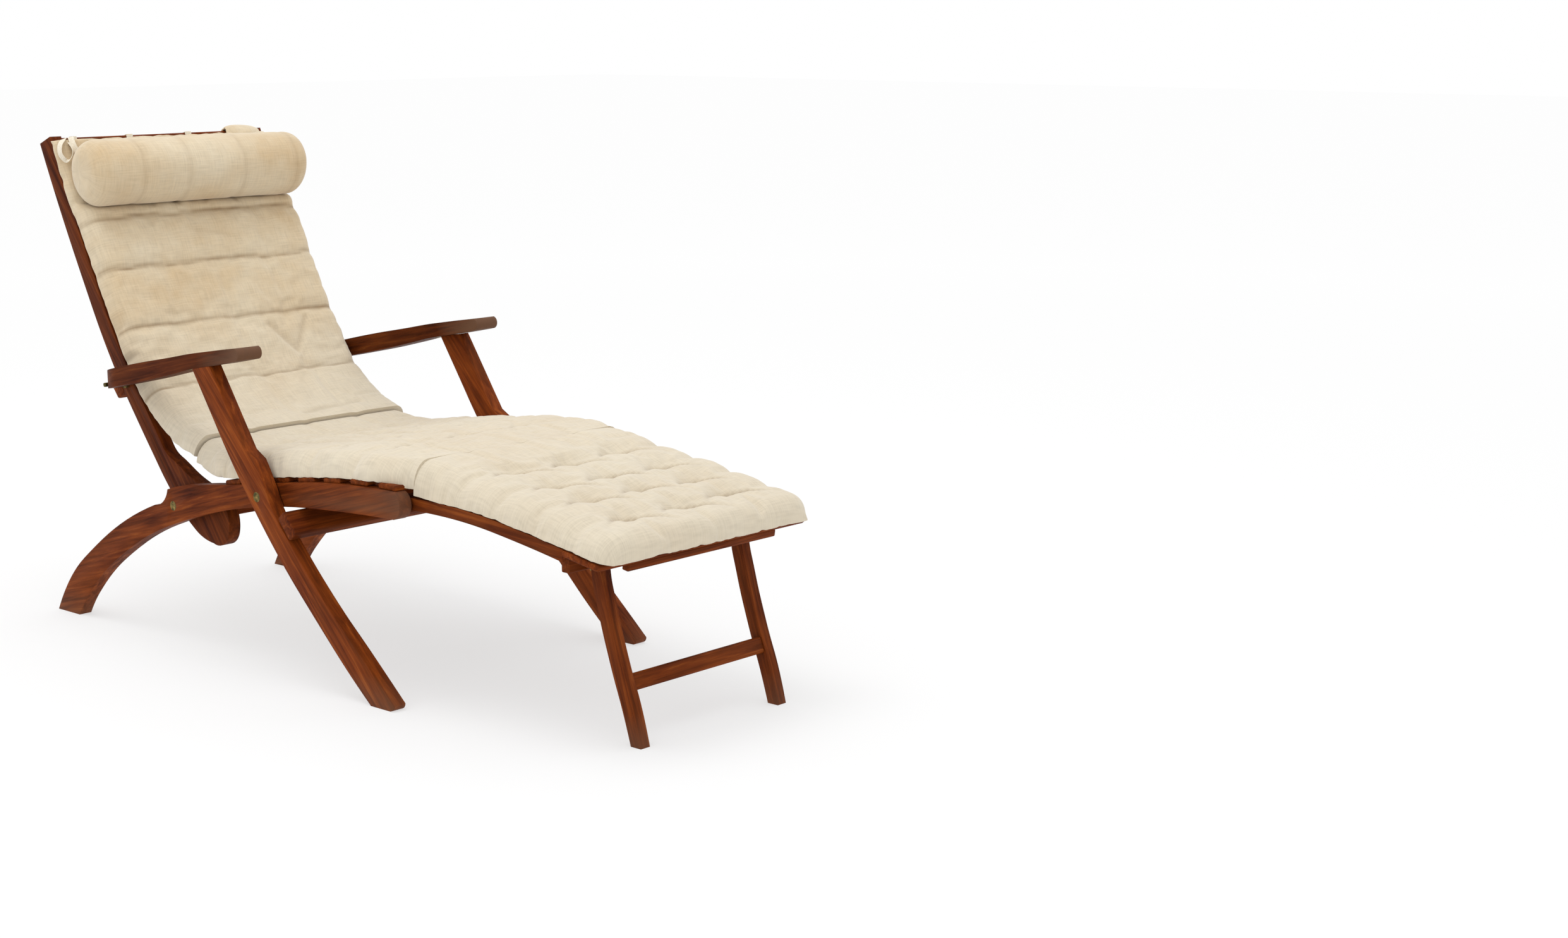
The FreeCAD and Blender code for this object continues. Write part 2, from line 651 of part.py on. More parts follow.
def arm():
    under, over = arm_runs()
    nose = ((under[0][0] + over[0][0]) / 2 - ARM_NOSE, (under[0][1] + over[0][1]) / 2)
    edges = run(under) + run([under[-1], over[-1]]) + run(over) + [arc_edge(over[0], nose, under[0])]
    solid = slab(edges, ARM_IN - 5, HALF_WIDTH + 5).common(arm_plan())
    solid = solid.cut(pin(ARM_PIN, BOLT_RADIUS + OPEN_PIVOT_PLAY, ARM_IN - 1, HALF_WIDTH - ARM_SKIN + 1))
    solid = solid.cut(hinge_recess(ARM_HINGE, POST_MIDDLE, ARM_LEAF))
    return one_solid(solid)


def front_frame():
    keep_pair("front_leg", front_leg())
    keep("front_cross_rail", front_cross_rail())
    keep_pair("arm", arm())


# Butt hinges: a leaf is told by the direction in which it lies away from the pin

POST_LEAF = (-POST_LEAN[0], -POST_LEAN[1])
ARM_LEAF = (math.cos(math.radians(-14)), math.sin(math.radians(-14)))
APRON_LEAF = (1.0, 0.0)
REST_LEG_LEAF = (-0.2, -0.98)
POST_MIDDLE = HALF_WIDTH - POST_THICKNESS / 2
REST_LEG_MIDDLE = REST_LEG_OUT - REST_LEG_THICKNESS / 2


def into_wood(leaf):
    """Unit normal of a leaf that points into the wood it is let into."""
    if leaf in (POST_LEAF, REST_LEG_LEAF):
        return (leaf[1] / math.hypot(*leaf), -leaf[0] / math.hypot(*leaf))
    return (-leaf[1] / math.hypot(*leaf), leaf[0] / math.hypot(*leaf))


def leaf_plate(axis, middle, leaf, x_half, grow=0.0):
    inward = into_wood(leaf)
    length = math.hypot(*leaf)
    along = (leaf[0] / length, leaf[1] / length)
    depth = LEAF_THICKNESS + grow
    out = (LEAF_WIDTH + grow) / 2
    centre = moved(axis, along[0] * out + inward[0] * depth / 2, along[1] * out + inward[1] * depth / 2)
    return batten(centre, along, LEAF_WIDTH + grow, depth, middle - x_half, middle + x_half)


def hinge_recess(axis, middle, leaf):
    half = HINGE_LENGTH / 2 + RECESS_FIT
    recess = leaf_plate(axis, middle, leaf, half, RECESS_FIT)
    return recess.fuse(pin(axis, KNUCKLE_RADIUS + SIDE_CLEARANCE, middle - half, middle + half))


def knuckle(axis, x_from, x_to):
    """One knuckle of a hinge, with eight flats."""
    turns = [math.radians(45 * index + 22.5) for index in range(8)]
    corners = [at(moved(axis, KNUCKLE_RADIUS * math.cos(turn), KNUCKLE_RADIUS * math.sin(turn)), x_from)
               for turn in turns]
    return Part.Face(Part.makePolygon(corners + corners[:1])).extrude(Vector(x_to - x_from, 0, 0))


def outer_leaf(axis, middle, leaf):
    """The leaf with the two outer knuckles, which hold the ends of the pin."""
    half = HINGE_LENGTH / 2
    gap = HINGE_LENGTH / 6 + RUNNING_FIT
    clear = KNUCKLE_RADIUS + SIDE_CLEARANCE
    solid = leaf_plate(axis, middle, leaf, half)
    room = batten(axis, leaf, 2 * clear, 2 * clear, middle - gap, middle + gap)
    solid = solid.cut(room)
    for side in (-1, 1):
        ends = sorted((middle + side * gap, middle + side * half))
        solid = solid.fuse(knuckle(axis, *ends))
    return one_solid(solid)


def middle_leaf(axis, middle, leaf):
    """The leaf with the middle knuckle, which turns on the pin."""
    half = HINGE_LENGTH / 2
    sixth = HINGE_LENGTH / 6
    clear = KNUCKLE_RADIUS + SIDE_CLEARANCE
    plate = leaf_plate(axis, middle, leaf, half)
    for ends in ((middle - half - 1, middle - sixth), (middle + sixth, middle + half + 1)):
        plate = plate.cut(batten(axis, leaf, 2 * clear, 2 * clear, *ends))
    solid = plate.fuse(knuckle(axis, middle - sixth, middle + sixth))
    return one_solid(solid.cut(pin(axis, HINGE_PIN_RADIUS + RUNNING_FIT, middle - half, middle + half)))


def hinge_pin(axis, middle):
    """The pin between the two outer knuckles, through the middle one."""
    half = HINGE_LENGTH / 6 + RUNNING_FIT
    return pin(axis, HINGE_PIN_RADIUS, middle - half, middle + half)


def hinges():
    keep_both("arm_hinge_post_leaves", outer_leaf(ARM_HINGE, POST_MIDDLE, POST_LEAF))
    keep_both("arm_hinge_pins", hinge_pin(ARM_HINGE, POST_MIDDLE))
    keep_pair("arm_hinge_leaf", middle_leaf(ARM_HINGE, POST_MIDDLE, ARM_LEAF))
    keep_both("rest_hinge_apron_leaves", outer_leaf(REST_HINGE, REST_LEG_MIDDLE, APRON_LEAF))
    keep_both("rest_hinge_pins", hinge_pin(REST_HINGE, REST_LEG_MIDDLE))
    keep_both("rest_hinge_leg_leaves", middle_leaf(REST_HINGE, REST_LEG_MIDDLE, REST_LEG_LEAF))


# Leg rest

def foot_slat_place():
    """Centre and direction of the foot slat, in line with the ends of the side rails."""
    before, end = rest_path()[-2:]
    length = math.hypot(end[0] - before[0], end[1] - before[1])
    direction = ((end[0] - before[0]) / length, (end[1] - before[1]) / length)
    half = FOOT_SLAT_WIDTH / 2
    return moved(end[:2], direction[0] * half, direction[1] * half), direction


def foot_slat():
    """The broad slat at the foot end, flush with the top of the side rails."""
    centre, direction = foot_slat_place()
    lift = (REST_RAIL_DEPTH - FOOT_SLAT_THICKNESS) / 2
    half = REST_RAIL_OUT + FOOT_SLAT_OVERHANG
    return batten(moved(centre, direction[1] * lift, -direction[0] * lift), direction, FOOT_SLAT_WIDTH,
                  FOOT_SLAT_THICKNESS, -half, half, EASED_EDGE)


def foot_rail():
    """The narrow rail under the front edge of the foot slat, between the outer faces of the rest legs."""
    centre, direction = foot_slat_place()
    down = (REST_RAIL_DEPTH + FOOT_RAIL_HEIGHT) / 2 - (REST_RAIL_DEPTH - FOOT_SLAT_THICKNESS)
    out = (FOOT_SLAT_WIDTH - FOOT_RAIL_THICKNESS) / 2 - EASED_EDGE
    place = moved(centre, direction[0] * out - direction[1] * down, direction[1] * out + direction[0] * down)
    return batten(place, direction, FOOT_RAIL_THICKNESS, FOOT_RAIL_HEIGHT, -REST_LEG_OUT, REST_LEG_OUT)


def rest_rail():
    bar = bent_bar(rest_path(), REST_RAIL_IN, REST_RAIL_OUT)
    return bar.cut(pin(guide_pin_point(), GUIDE_PIN_RADIUS, REST_RAIL_IN - 1, REST_RAIL_OUT + 1))


def rest_apron():
    """The cross board that the rest legs are hinged to and close against."""
    low = REST_HINGE[1] + SIDE_CLEARANCE
    high = rest_path()[-2][1] + REST_RAIL_DEPTH / 2 - FOOT_SLAT_THICKNESS
    board = batten((REST_HINGE[0] + SIDE_CLEARANCE + APRON_THICKNESS / 2, (low + high) / 2), (0, 1),
                   high - low, APRON_THICKNESS, -REST_RAIL_IN, REST_RAIL_IN, EASED_EDGE * 0.6)
    recess = hinge_recess(REST_HINGE, REST_LEG_MIDDLE, APRON_LEAF)
    return one_solid(board.cut(recess).cut(mirrored(recess)))


def rest_leg():
    rear, front = sides_of(rest_leg_path())
    toe = (REST_HINGE[0] - REST_LEG_SPREAD, 0)
    sole = [moved(toe, REST_LEG_DEPTH - 1), toe]
    edges = run([front[0], rear[0]]) + run(rear + sole[:1]) + run(sole) + run(front + sole[1:])
    leg = slab(edges, REST_LEG_IN, REST_LEG_OUT)
    return one_solid(leg.cut(hinge_recess(REST_HINGE, REST_LEG_MIDDLE, REST_LEG_LEAF)))


def cross_place(path, y, rise=0.0):
    """Centre and direction of a cross piece on a path at a given y, raised square to the path."""
    curve = centre_line(path)
    value = curve.parameter(Vector(0, y, path[0][1]))
    point = curve.value(value)
    tangent = curve.tangent(value)[0]
    if tangent.y < 0:
        tangent = tangent * -1
    return (point.y - tangent.z * rise, point.z + tangent.y * rise), (tangent.y, tangent.z)


def leg_rest():
    keep_pair("rest_rail", rest_rail())
    keep("foot_slat", foot_slat())
    keep("foot_rail", foot_rail())
    path = rest_path()
    for index in range(REST_SLATS):
        y = REST_START_Y - REST_SLAT_START - index * REST_SLAT_PITCH
        centre, direction = cross_place(path, y, (REST_RAIL_DEPTH - SLAT_THICKNESS) / 2)
        slat = batten(centre, direction, REST_SLAT_WIDTH, SLAT_THICKNESS, -REST_RAIL_IN, REST_RAIL_IN,
                      EASED_EDGE)
        keep("rest_slat_%d" % (index + 1), slat)
    rear_centre = moved(path[0][:2], -REST_RAIL_DEPTH / 2)
    keep("rear_rest_rail",
         batten(rear_centre, (1, 0), REST_RAIL_DEPTH, REST_RAIL_DEPTH, -REST_RAIL_IN, REST_RAIL_IN,
                EASED_EDGE))
    keep("rest_apron", rest_apron())
    keep_pair("rest_leg", rest_leg())
    rail = rest_leg_path()
    share = (rail[3][1] - STRETCHER_Z) / (rail[3][1] - rail[4][1])
    y = rail[3][0] + share * (rail[4][0] - rail[3][0])
    lean = (rail[4][0] - rail[3][0], rail[4][1] - rail[3][1])
    keep("rest_stretcher",
         batten((y, STRETCHER_Z), lean, STRETCHER_WIDTH, STRETCHER_THICKNESS, -REST_LEG_IN, REST_LEG_IN,
                EASED_EDGE))


# Bolts, pins and washers

def headed_bolt(point, x_end, x_head):
    """A bolt whose flush head lies in the member's outer face."""
    shank = pin(point, BOLT_RADIUS, x_end, x_head - BOLT_HEAD_HEIGHT)
    head = pin(point, BOLT_HEAD_RADIUS, x_head - BOLT_HEAD_HEIGHT, x_head)
    return shank.fuse(head)


def washer(point, x_from, x_to):
    ring = pin(point, WASHER_RADIUS, x_from, x_to)
    return ring.cut(pin(point, BOLT_RADIUS + RUNNING_FIT, x_from - 1, x_to + 1))


def fittings():
    keep_both("leg_pivot_bolts", headed_bolt(LEG_PIVOT, RAIL_IN + GUIDE_GROOVE_DEPTH + 4, HALF_WIDTH))
    keep_both("leg_pivot_washers", washer(LEG_PIVOT, RAIL_OUT, POST_IN - SIDE_CLEARANCE))
    keep_both("back_pivot_bolts", headed_bolt(BACK_PIVOT, STILE_IN, RAIL_OUT))
    keep_both("back_pivot_washers", washer(BACK_PIVOT, STILE_OUT + SIDE_CLEARANCE, RAIL_IN))
    keep_both("arm_pins", pin(ARM_PIN, BOLT_RADIUS, STILE_IN, HALF_WIDTH - ARM_SKIN))
    keep_both("arm_pin_washers", washer(ARM_PIN, STILE_OUT, ARM_IN - SIDE_CLEARANCE))
    keep_both("rest_guide_pins",
              pin(guide_pin_point(), GUIDE_PIN_RADIUS, REST_RAIL_IN, RAIL_IN + GUIDE_GROOVE_DEPTH - 1))


# Mattress: quilted panels lofted across the chair from station to station

def quilt_stations(half_width, columns):
    """Planes across the pad with the share of the filling that is drawn in at each seam and side."""
    steps = 2 * columns
    inner = half_width - PAD_THICKNESS * 0.3
    stations = [(-inner + 2 * inner * step / steps, 0.0 if step % 2 else 0.18) for step in range(steps + 1)]
    return [(-half_width, 0.45)] + stations + [(half_width, 0.45)]


def raised(line, share, height):
    """A point at a height square above a share of a line."""
    point, direction = station(line, share)
    return moved(point, -direction[1] * height, direction[0] * height)


def quilt_section(line, shares, crowns, drawn, x):
    """One closed outline: a crowned arc over each panel and a flat one under it, with two blunt ends."""
    heights = [crowns[0]] + [(a + b) / 2 for a, b in zip(crowns, crowns[1:])] + [crowns[-1]]
    seams = [raised(line, share, (0.76 - drawn) * height) for share, height in zip(shares, heights)]
    bases = [raised(line, share, 0.4 * drawn * height) for share, height in zip(shares, heights)]
    edges = [Part.LineSegment(at(seams[end], x), at(bases[end], x)).toShape() for end in (0, -1)]
    for index, crown in enumerate(crowns):
        middle = (shares[index] + shares[index + 1]) / 2
        for ends, share in ((seams, 1 - drawn), (bases, 0.4 * drawn)):
            top = raised(line, middle, share * crown)
            edges.append(Part.Arc(at(ends[index], x), at(top, x), at(ends[index + 1], x)).toShape())
    return Part.Wire(Part.__sortEdges__(edges))


def quilt(under, half_width, crowns, shares=None):
    line = centre_line(under)
    if shares is None:
        shares = [index / len(crowns) for index in range(len(crowns) + 1)]
    wires = [quilt_section(line, shares, crowns, drawn, x)
             for x, drawn in quilt_stations(half_width, PAD_COLUMNS)]
    return Part.makeLoft(wires, True, True)


def seat_pad():
    """From just in front of the seat rails' noses up to the foot of the back."""
    upper, lower = sides_of(rail_path())
    lift = SLAT_THICKNESS - HOUSING + PAD_GAP
    under = [moved(upper[index], 0, lift) for index in (0, 2, 4, 5)]
    under[0] = moved(under[0], -NOSE_DEPTH * 0.375, 1)
    under[-1] = moved(under[-1], 0, 1.5)
    under += shaped(BACK_PIVOT, HEEL_REACH, HEEL_REACH, [(-0.814, 0.535), (-0.31, 0.62)])
    return quilt(under, RAIL_OUT - SEAT_PAD_INSET, [PAD_THICKNESS] * 5)


def back_pad():
    """Five full panels, then a thin flap behind the head roll that reaches the top rail."""
    upper, lower = sides_of(stile_path())
    under = shaped(BACK_PIVOT, HEEL_REACH, HEEL_REACH, [(-0.248, 0.698), (0.31, 0.899)])
    under += [moved(point, -BACK_PAD_GAP, BACK_PAD_GAP / 2) for point in upper[2:]]
    under[-1] = moved(under[-1], -4, -10)
    full = (1 - FLAP_SHARE) / 5
    shares = [index * full for index in range(6)] + [1]
    return quilt(under, ARM_IN - ARM_TO_PAD, [PAD_THICKNESS] * 5 + [FLAP_THICKNESS], shares)


def leg_pad():
    """From just past the foot slat to the front end of the seat pad, rising to bridge the step there."""
    upper, lower = sides_of(rest_path())
    centre, direction = foot_slat_place()
    reach = FOOT_SLAT_WIDTH + PAD_OVERHANG
    ends = [moved(lower[6], direction[0] * reach, direction[1] * reach)]
    ends += [lower[index] for index in (6, 4, 3, 2, 1)]
    ends[-2] = moved(ends[-2], 0, PAD_BRIDGE / 4)
    ends[-1] = moved(ends[-1], NOSE_DEPTH / 4, PAD_BRIDGE)
    under = [moved(point, 0, PAD_GAP) for point in ends]
    return quilt(under, RAIL_IN - PAD_GAP, [PAD_THICKNESS * 0.93] * 5)


def head_roll():
    """A stuffed roll with drawn-in ends, turned about its own axis."""
    point, direction = station(centre_line(stile_path()[1:]), ROLL_SHARE)
    away = STILE_DEPTH / 2 + 2 * BACK_PAD_GAP + FLAP_THICKNESS + ROLL_RADIUS
    centre = moved(point, -direction[1] * away, direction[0] * away)
    half = ARM_IN - ARM_TO_PAD
    end = [(half, 0), (half, ROLL_RADIUS * 0.55), (half - ROLL_RADIUS * 0.14, ROLL_RADIUS * 0.83)]
    end.append((half - ROLL_RADIUS * 0.45, ROLL_RADIUS))
    outline = end + [(-x, radius) for x, radius in reversed(end)]
    corners = [at(moved(centre, 0, radius), x) for x, radius in outline]
    face = Part.Face(Part.makePolygon(corners + corners[:1]))
    return face.revolve(at(centre), Vector(1, 0, 0), 360)


def ties():
    """Tapes round the top rail that hold the mattress up."""
    centre, direction = top_rail_place()
    loops = []
    for share in (-0.88, -0.31, 0.31, 0.88):
        x = share * STILE_IN
        grow = PAD_GAP * 0.5
        inner = batten(centre, direction, TOP_RAIL_WIDTH + grow, TOP_RAIL_THICKNESS + grow,
                       x - TIE_WIDTH / 2 - 1, x + TIE_WIDTH / 2 + 1)
        thick = 2 * TIE_THICKNESS + grow
        outer = batten(centre, direction, TOP_RAIL_WIDTH + thick, TOP_RAIL_THICKNESS + thick,
                       x - TIE_WIDTH / 2, x + TIE_WIDTH / 2)
        loops.append(outer.cut(inner))
    return loops


def mattress():
    keep("seat_pad", seat_pad())
    keep("back_pad", back_pad())
    keep("leg_pad", leg_pad())
    keep("head_roll", head_roll())
    keep("mattress_ties", *ties())


seat_frame()
back_frame()
front_frame()
hinges()
leg_rest()
fittings()
mattress()

for name, shape in PIECES.items():
    shape.exportStep("parts/%s.step" % name)
    print(name, len(shape.Solids), shape.isValid(), round(shape.Volume))
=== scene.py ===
"""The finish of a folding steamer deck chair: oiled timber, brass fittings and a quilted canvas mattress."""
import json
import math

import bpy
import numpy as np
from bpy.props import FloatProperty, FloatVectorProperty, IntProperty, PointerProperty
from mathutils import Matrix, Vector, noise

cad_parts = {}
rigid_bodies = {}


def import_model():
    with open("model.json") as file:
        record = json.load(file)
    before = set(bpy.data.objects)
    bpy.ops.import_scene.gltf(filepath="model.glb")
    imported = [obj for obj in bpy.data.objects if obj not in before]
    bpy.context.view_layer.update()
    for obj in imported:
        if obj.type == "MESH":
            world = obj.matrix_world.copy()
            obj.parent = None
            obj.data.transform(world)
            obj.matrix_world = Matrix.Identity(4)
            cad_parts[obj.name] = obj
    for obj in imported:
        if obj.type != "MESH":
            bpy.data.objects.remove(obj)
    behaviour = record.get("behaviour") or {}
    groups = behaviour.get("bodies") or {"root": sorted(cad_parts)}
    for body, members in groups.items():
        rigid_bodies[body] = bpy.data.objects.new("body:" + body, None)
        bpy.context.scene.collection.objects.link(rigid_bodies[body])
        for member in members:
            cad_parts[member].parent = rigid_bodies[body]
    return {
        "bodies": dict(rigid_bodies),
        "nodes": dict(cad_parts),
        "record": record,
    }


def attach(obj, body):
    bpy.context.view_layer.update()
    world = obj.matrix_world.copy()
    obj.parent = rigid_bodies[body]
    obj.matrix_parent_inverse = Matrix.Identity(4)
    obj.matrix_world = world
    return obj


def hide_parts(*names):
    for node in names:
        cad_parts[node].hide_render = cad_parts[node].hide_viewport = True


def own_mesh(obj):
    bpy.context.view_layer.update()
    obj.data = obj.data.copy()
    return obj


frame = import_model()

bl_info = {
    "name": "Steamer deck chair",
    "version": (1, 0, 0),
    "blender": (4, 5, 0),
    "location": "3D View > Sidebar > Deck chair",
    "description": "Finishes the packed deck chair with timber, brass and a quilted mattress",
    "category": "Object",
}

MM = 0.001
PHOTO_WIDTH = 2482
FOCAL_PIXELS = 3797.25
SENSOR_WIDTH = 36.0
CAMERA_PLACE = (-2.7937, -3.3598, 1.1556)
CAMERA_HEADING = 48.793
CAMERA_DIP = 10.765

# Undersides of the mattress's three lengths in the side plane, (y, z) in metres
SEAT_LINE = [(-0.3065, 0.3811), (-0.1482, 0.3760), (0.0529, 0.3518), (0.1542, 0.3372), (0.2400, 0.3310),
             (0.3050, 0.3420)]
BACK_LINE = [(0.3130, 0.3520), (0.3850, 0.3780), (0.4707, 0.4438), (0.5249, 0.5216), (0.5814, 0.6197),
             (0.6342, 0.7194), (0.6868, 0.8177), (0.7275, 0.9148)]
REST_LINE = [(-0.7643, 0.3061), (-0.6627, 0.3233), (-0.6014, 0.3337), (-0.5012, 0.3488), (-0.4004, 0.3599),
             (-0.3065, 0.3675)]
ROLL_CENTRE = (0.6255, 0.8621)

# Depth of colour of the long members, by the end of their name: partly each board's own tone, partly painted
# light and shade, with the front legs lightened where the seat shades them and the back stiles darkened as
# painted shade
BOARD_TONES_AND_LIGHT = {"arm": 0.60, "back_stile": 0.76, "front_leg": 1.18, "seat_rail": 1.03, "rest_leg": 0.97,
               "rest_rail": 0.95}

# Points and steps of the modelled curves, and frames of the cloth's swelling
LINE_POINTS = 400
CURVE_STEPS = 40
ARC_STEPS = 6
TAPE_STEPS = 6
SWELL_FRAMES = 20

# Breadths of what the stitching does to the mattress, in metres
STITCH_REACH = 0.09
SEAM_HOLLOW = 0.017
SEAM_NICK = 0.005
# The _CREASE breadths set how wide the painted crease shade is drawn, and where the cloth is held
SEAM_CREASE = 0.0034
TUFT_LENGTH = 0.025
TUFT_BREADTH = 0.034
WRINKLE_HALF = 0.052
WRINKLE_BOW = 0.022
WRINKLE_STRAY = 0.016
WRINKLE_LIP = 0.0065
WRINKLE_CREASE = 0.0038
COLUMN_HOLLOW = 0.010
FOLD_HOLLOW = 0.009
FOLD_CREASE = 0.0045
ROW_WAIST = 0.016
RIM_GATHER = 0.05
PLUMB_END = 0.05
CORNER_ROUND = 0.016
QUIET_END = 0.030


class TimberSettings(bpy.types.PropertyGroup):
    edge_radius: FloatProperty(
        name="Edge radius", description="How far the arrises are rounded over", default=2.2 * MM,
        unit="LENGTH")
    edge_steps: IntProperty(name="Edge steps", description="Facets across a rounded arris", default=3)
    heart: FloatVectorProperty(
        name="Heartwood", description="Main colour of the oiled timber", subtype="COLOR", size=3,
        default=(0.1812, 0.0344, 0.0052))


class MattressSettings(bpy.types.PropertyGroup):
    seat_half: FloatProperty(
        name="Seat half width", description="Half the width between the front legs", default=0.269,
        unit="LENGTH")
    back_half: FloatProperty(
        name="Back half width", description="Half the width between the arms", default=0.2475, unit="LENGTH")
    rest_half: FloatProperty(
        name="Leg half width", description="Half the width over the leg rest", default=0.2465, unit="LENGTH")
    flap: FloatProperty(
        name="Flap", description="Loft of the thin length behind the roll", default=0.013, unit="LENGTH")
    thickness: FloatProperty(
        name="Thickness", description="Loft of the filling", default=0.045, unit="LENGTH")
    side_radius: FloatProperty(
        name="Side radius", description="Roundness of the long edges of the back's length", default=0.026,
        unit="LENGTH")
    canvas: FloatVectorProperty(
        name="Canvas", description="Main colour of the cotton canvas", subtype="COLOR", size=3,
        default=(0.6445, 0.5395, 0.3813))
    spacing: FloatProperty(
        name="Mesh spacing", description="Distance between mesh points", default=0.006, unit="LENGTH")
    columns: IntProperty(name="Columns", description="Panels across the mattress", default=4)


class StageSettings(bpy.types.PropertyGroup):
    floor_size: FloatProperty(
        name="Floor size", description="Width of the floor", default=60.0, unit="LENGTH")


def only(piece):
    """Selects one object and nothing else."""
    bpy.ops.object.select_all(action="DESELECT")
    piece.select_set(True)
    bpy.context.view_layer.objects.active = piece


def linear(code):
    """An sRGB hex colour as linear RGBA."""
    values = [int(code[i:i + 2], 16) / 255 for i in (1, 3, 5)]
    return [v / 12.92 if v <= 0.04045 else ((v + 0.055) / 1.055) ** 2.4 for v in values] + [1.0]


def add_node(tree, kind, settings=None, links=None):
    """One shader node with its settings, and links from (node, output) to its inputs."""
    node = tree.nodes.new(kind)
    for key, value in (settings or {}).items():
        if isinstance(key, int) or not hasattr(node, key):
            node.inputs[key].default_value = value
        else:
            setattr(node, key, value)
    for key, (source, output) in (links or {}).items():
        tree.links.new(source.outputs[output], node.inputs[key])
    return node


def ramp(tree, source, output, stops):
    """A colour ramp with (position, colour) stops."""
    node = add_node(tree, "ShaderNodeValToRGB", links={"Fac": (source, output)})
    elements = node.color_ramp.elements
    while len(elements) < len(stops):
        elements.new(0.5)
    for element, (position, colour) in zip(elements, stops):
        element.position = position
        element.color = colour
    return node


def grey(value):
    """A neutral colour."""
    return (value, value, value, 1.0)


def start_material(name):
    """A new material, its node tree and its shader."""
    material = bpy.data.materials.new(name)
    material.use_nodes = True
    tree = material.node_tree
    return material, tree, tree.nodes["Principled BSDF"]


def oiled_teak():
    """Teak sawn, planed and oiled, then years outdoors: a dense red-brown with fine dark pores along the
    grain, a dull sheen, each board in its own depth of colour, which is partly painted light and shade,
    and grey where it was handled or stood wet."""
    material, tree, shader = start_material("oiled_teak")
    grain = add_node(tree, "ShaderNodeAttribute", {"attribute_name": "grain"})
    stretched = add_node(tree, "ShaderNodeMapping", {"Scale": (0.006, 0.11, 0.11)},
                         {"Vector": (grain, "Vector")})
    figure = add_node(tree, "ShaderNodeTexNoise",
                      {"Scale": 1.0, "Detail": 5.0, "Roughness": 0.6, "Distortion": 0.6},
                      {"Vector": (stretched, "Vector")})
    fine = add_node(tree, "ShaderNodeMapping", {"Scale": (0.03, 0.9, 0.9)}, {"Vector": (grain, "Vector")})
    fibres = add_node(tree, "ShaderNodeTexNoise", {"Scale": 1.0, "Detail": 3.0, "Roughness": 0.7},
                      {"Vector": (fine, "Vector")})
    broad = add_node(tree, "ShaderNodeMapping", {"Scale": (0.008, 0.02, 0.02)}, {"Vector": (grain, "Vector")})
    patches = add_node(tree, "ShaderNodeTexNoise", {"Scale": 1.0, "Detail": 3.0},
                       {"Vector": (broad, "Vector")})
    heart = tuple(bpy.context.scene.deck_chair_timber.heart) + (1.0,)
    body = ramp(tree, figure, "Fac", [(0.25, linear("#2D0E04")), (0.42, linear("#532009")),
                                      (0.58, heart), (0.80, linear("#A35921"))])
    pores = ramp(tree, fibres, "Fac", [(0.30, grey(0.45)), (0.46, grey(1.0)), (0.75, grey(1.15))])
    darker = add_node(tree, "ShaderNodeMix", {"data_type": "RGBA", "blend_type": "MULTIPLY"},
                      {"A": (body, "Color"), "B": (pores, "Color")})
    darker.inputs["Factor"].default_value = 0.55
    aged = ramp(tree, patches, "Fac", [(0.35, linear("#401806")), (0.65, linear("#844417"))])
    blended = add_node(tree, "ShaderNodeMix", {"data_type": "RGBA", "blend_type": "MIX"},
                       {"A": (darker, "Result"), "B": (aged, "Color")})
    blended.inputs["Factor"].default_value = 0.30
    # Per-board tone: partly each board's own colour, partly painted light and shade (front legs lightened,
    # back stiles darkened)
    tone = add_node(tree, "ShaderNodeAttribute", {"attribute_name": "tone"})
    toned = add_node(tree, "ShaderNodeMix", {"data_type": "RGBA", "blend_type": "MULTIPLY"},
                     {"A": (blended, "Result"), "B": (tone, "Color")})
    toned.inputs["Factor"].default_value = 1.0
    place = add_node(tree, "ShaderNodeTexCoord")
    split = add_node(tree, "ShaderNodeSeparateXYZ", links={"Vector": (place, "Object")})
    foot = add_node(tree, "ShaderNodeMapRange", {1: 0.055, 2: 0.004, 3: 0.0, 4: 0.75}, {0: (split, "Z")})
    foot_noise = add_node(tree, "ShaderNodeMath", {"operation": "MULTIPLY"},
                          {0: (foot, 0), 1: (patches, "Fac")})
    worn = add_node(tree, "ShaderNodeAttribute", {"attribute_name": "worn"})
    weathering = add_node(tree, "ShaderNodeMath", {"operation": "MAXIMUM"},
                          {0: (foot_noise, 0), 1: (worn, "Fac")})
    greyed = add_node(tree, "ShaderNodeMix", {"data_type": "RGBA", "blend_type": "MIX"},
                      {"Factor": (weathering, 0), "A": (toned, "Result")})
    greyed.inputs["B"].default_value = linear("#6A4E3C")
    tree.links.new(greyed.outputs["Result"], shader.inputs["Base Color"])
    dull = add_node(tree, "ShaderNodeMapRange", {1: 0.3, 2: 0.7, 3: 0.58, 4: 0.46}, {0: (figure, "Fac")})
    tree.links.new(dull.outputs[0], shader.inputs["Roughness"])
    shader.inputs["IOR"].default_value = 1.46
    shader.inputs["Specular IOR Level"].default_value = 0.06
    relief = add_node(tree, "ShaderNodeBump", {"Strength": 0.35, "Distance": 0.0004},
                      {"Height": (fibres, "Fac")})
    tree.links.new(relief.outputs["Normal"], shader.inputs["Normal"])
    return material


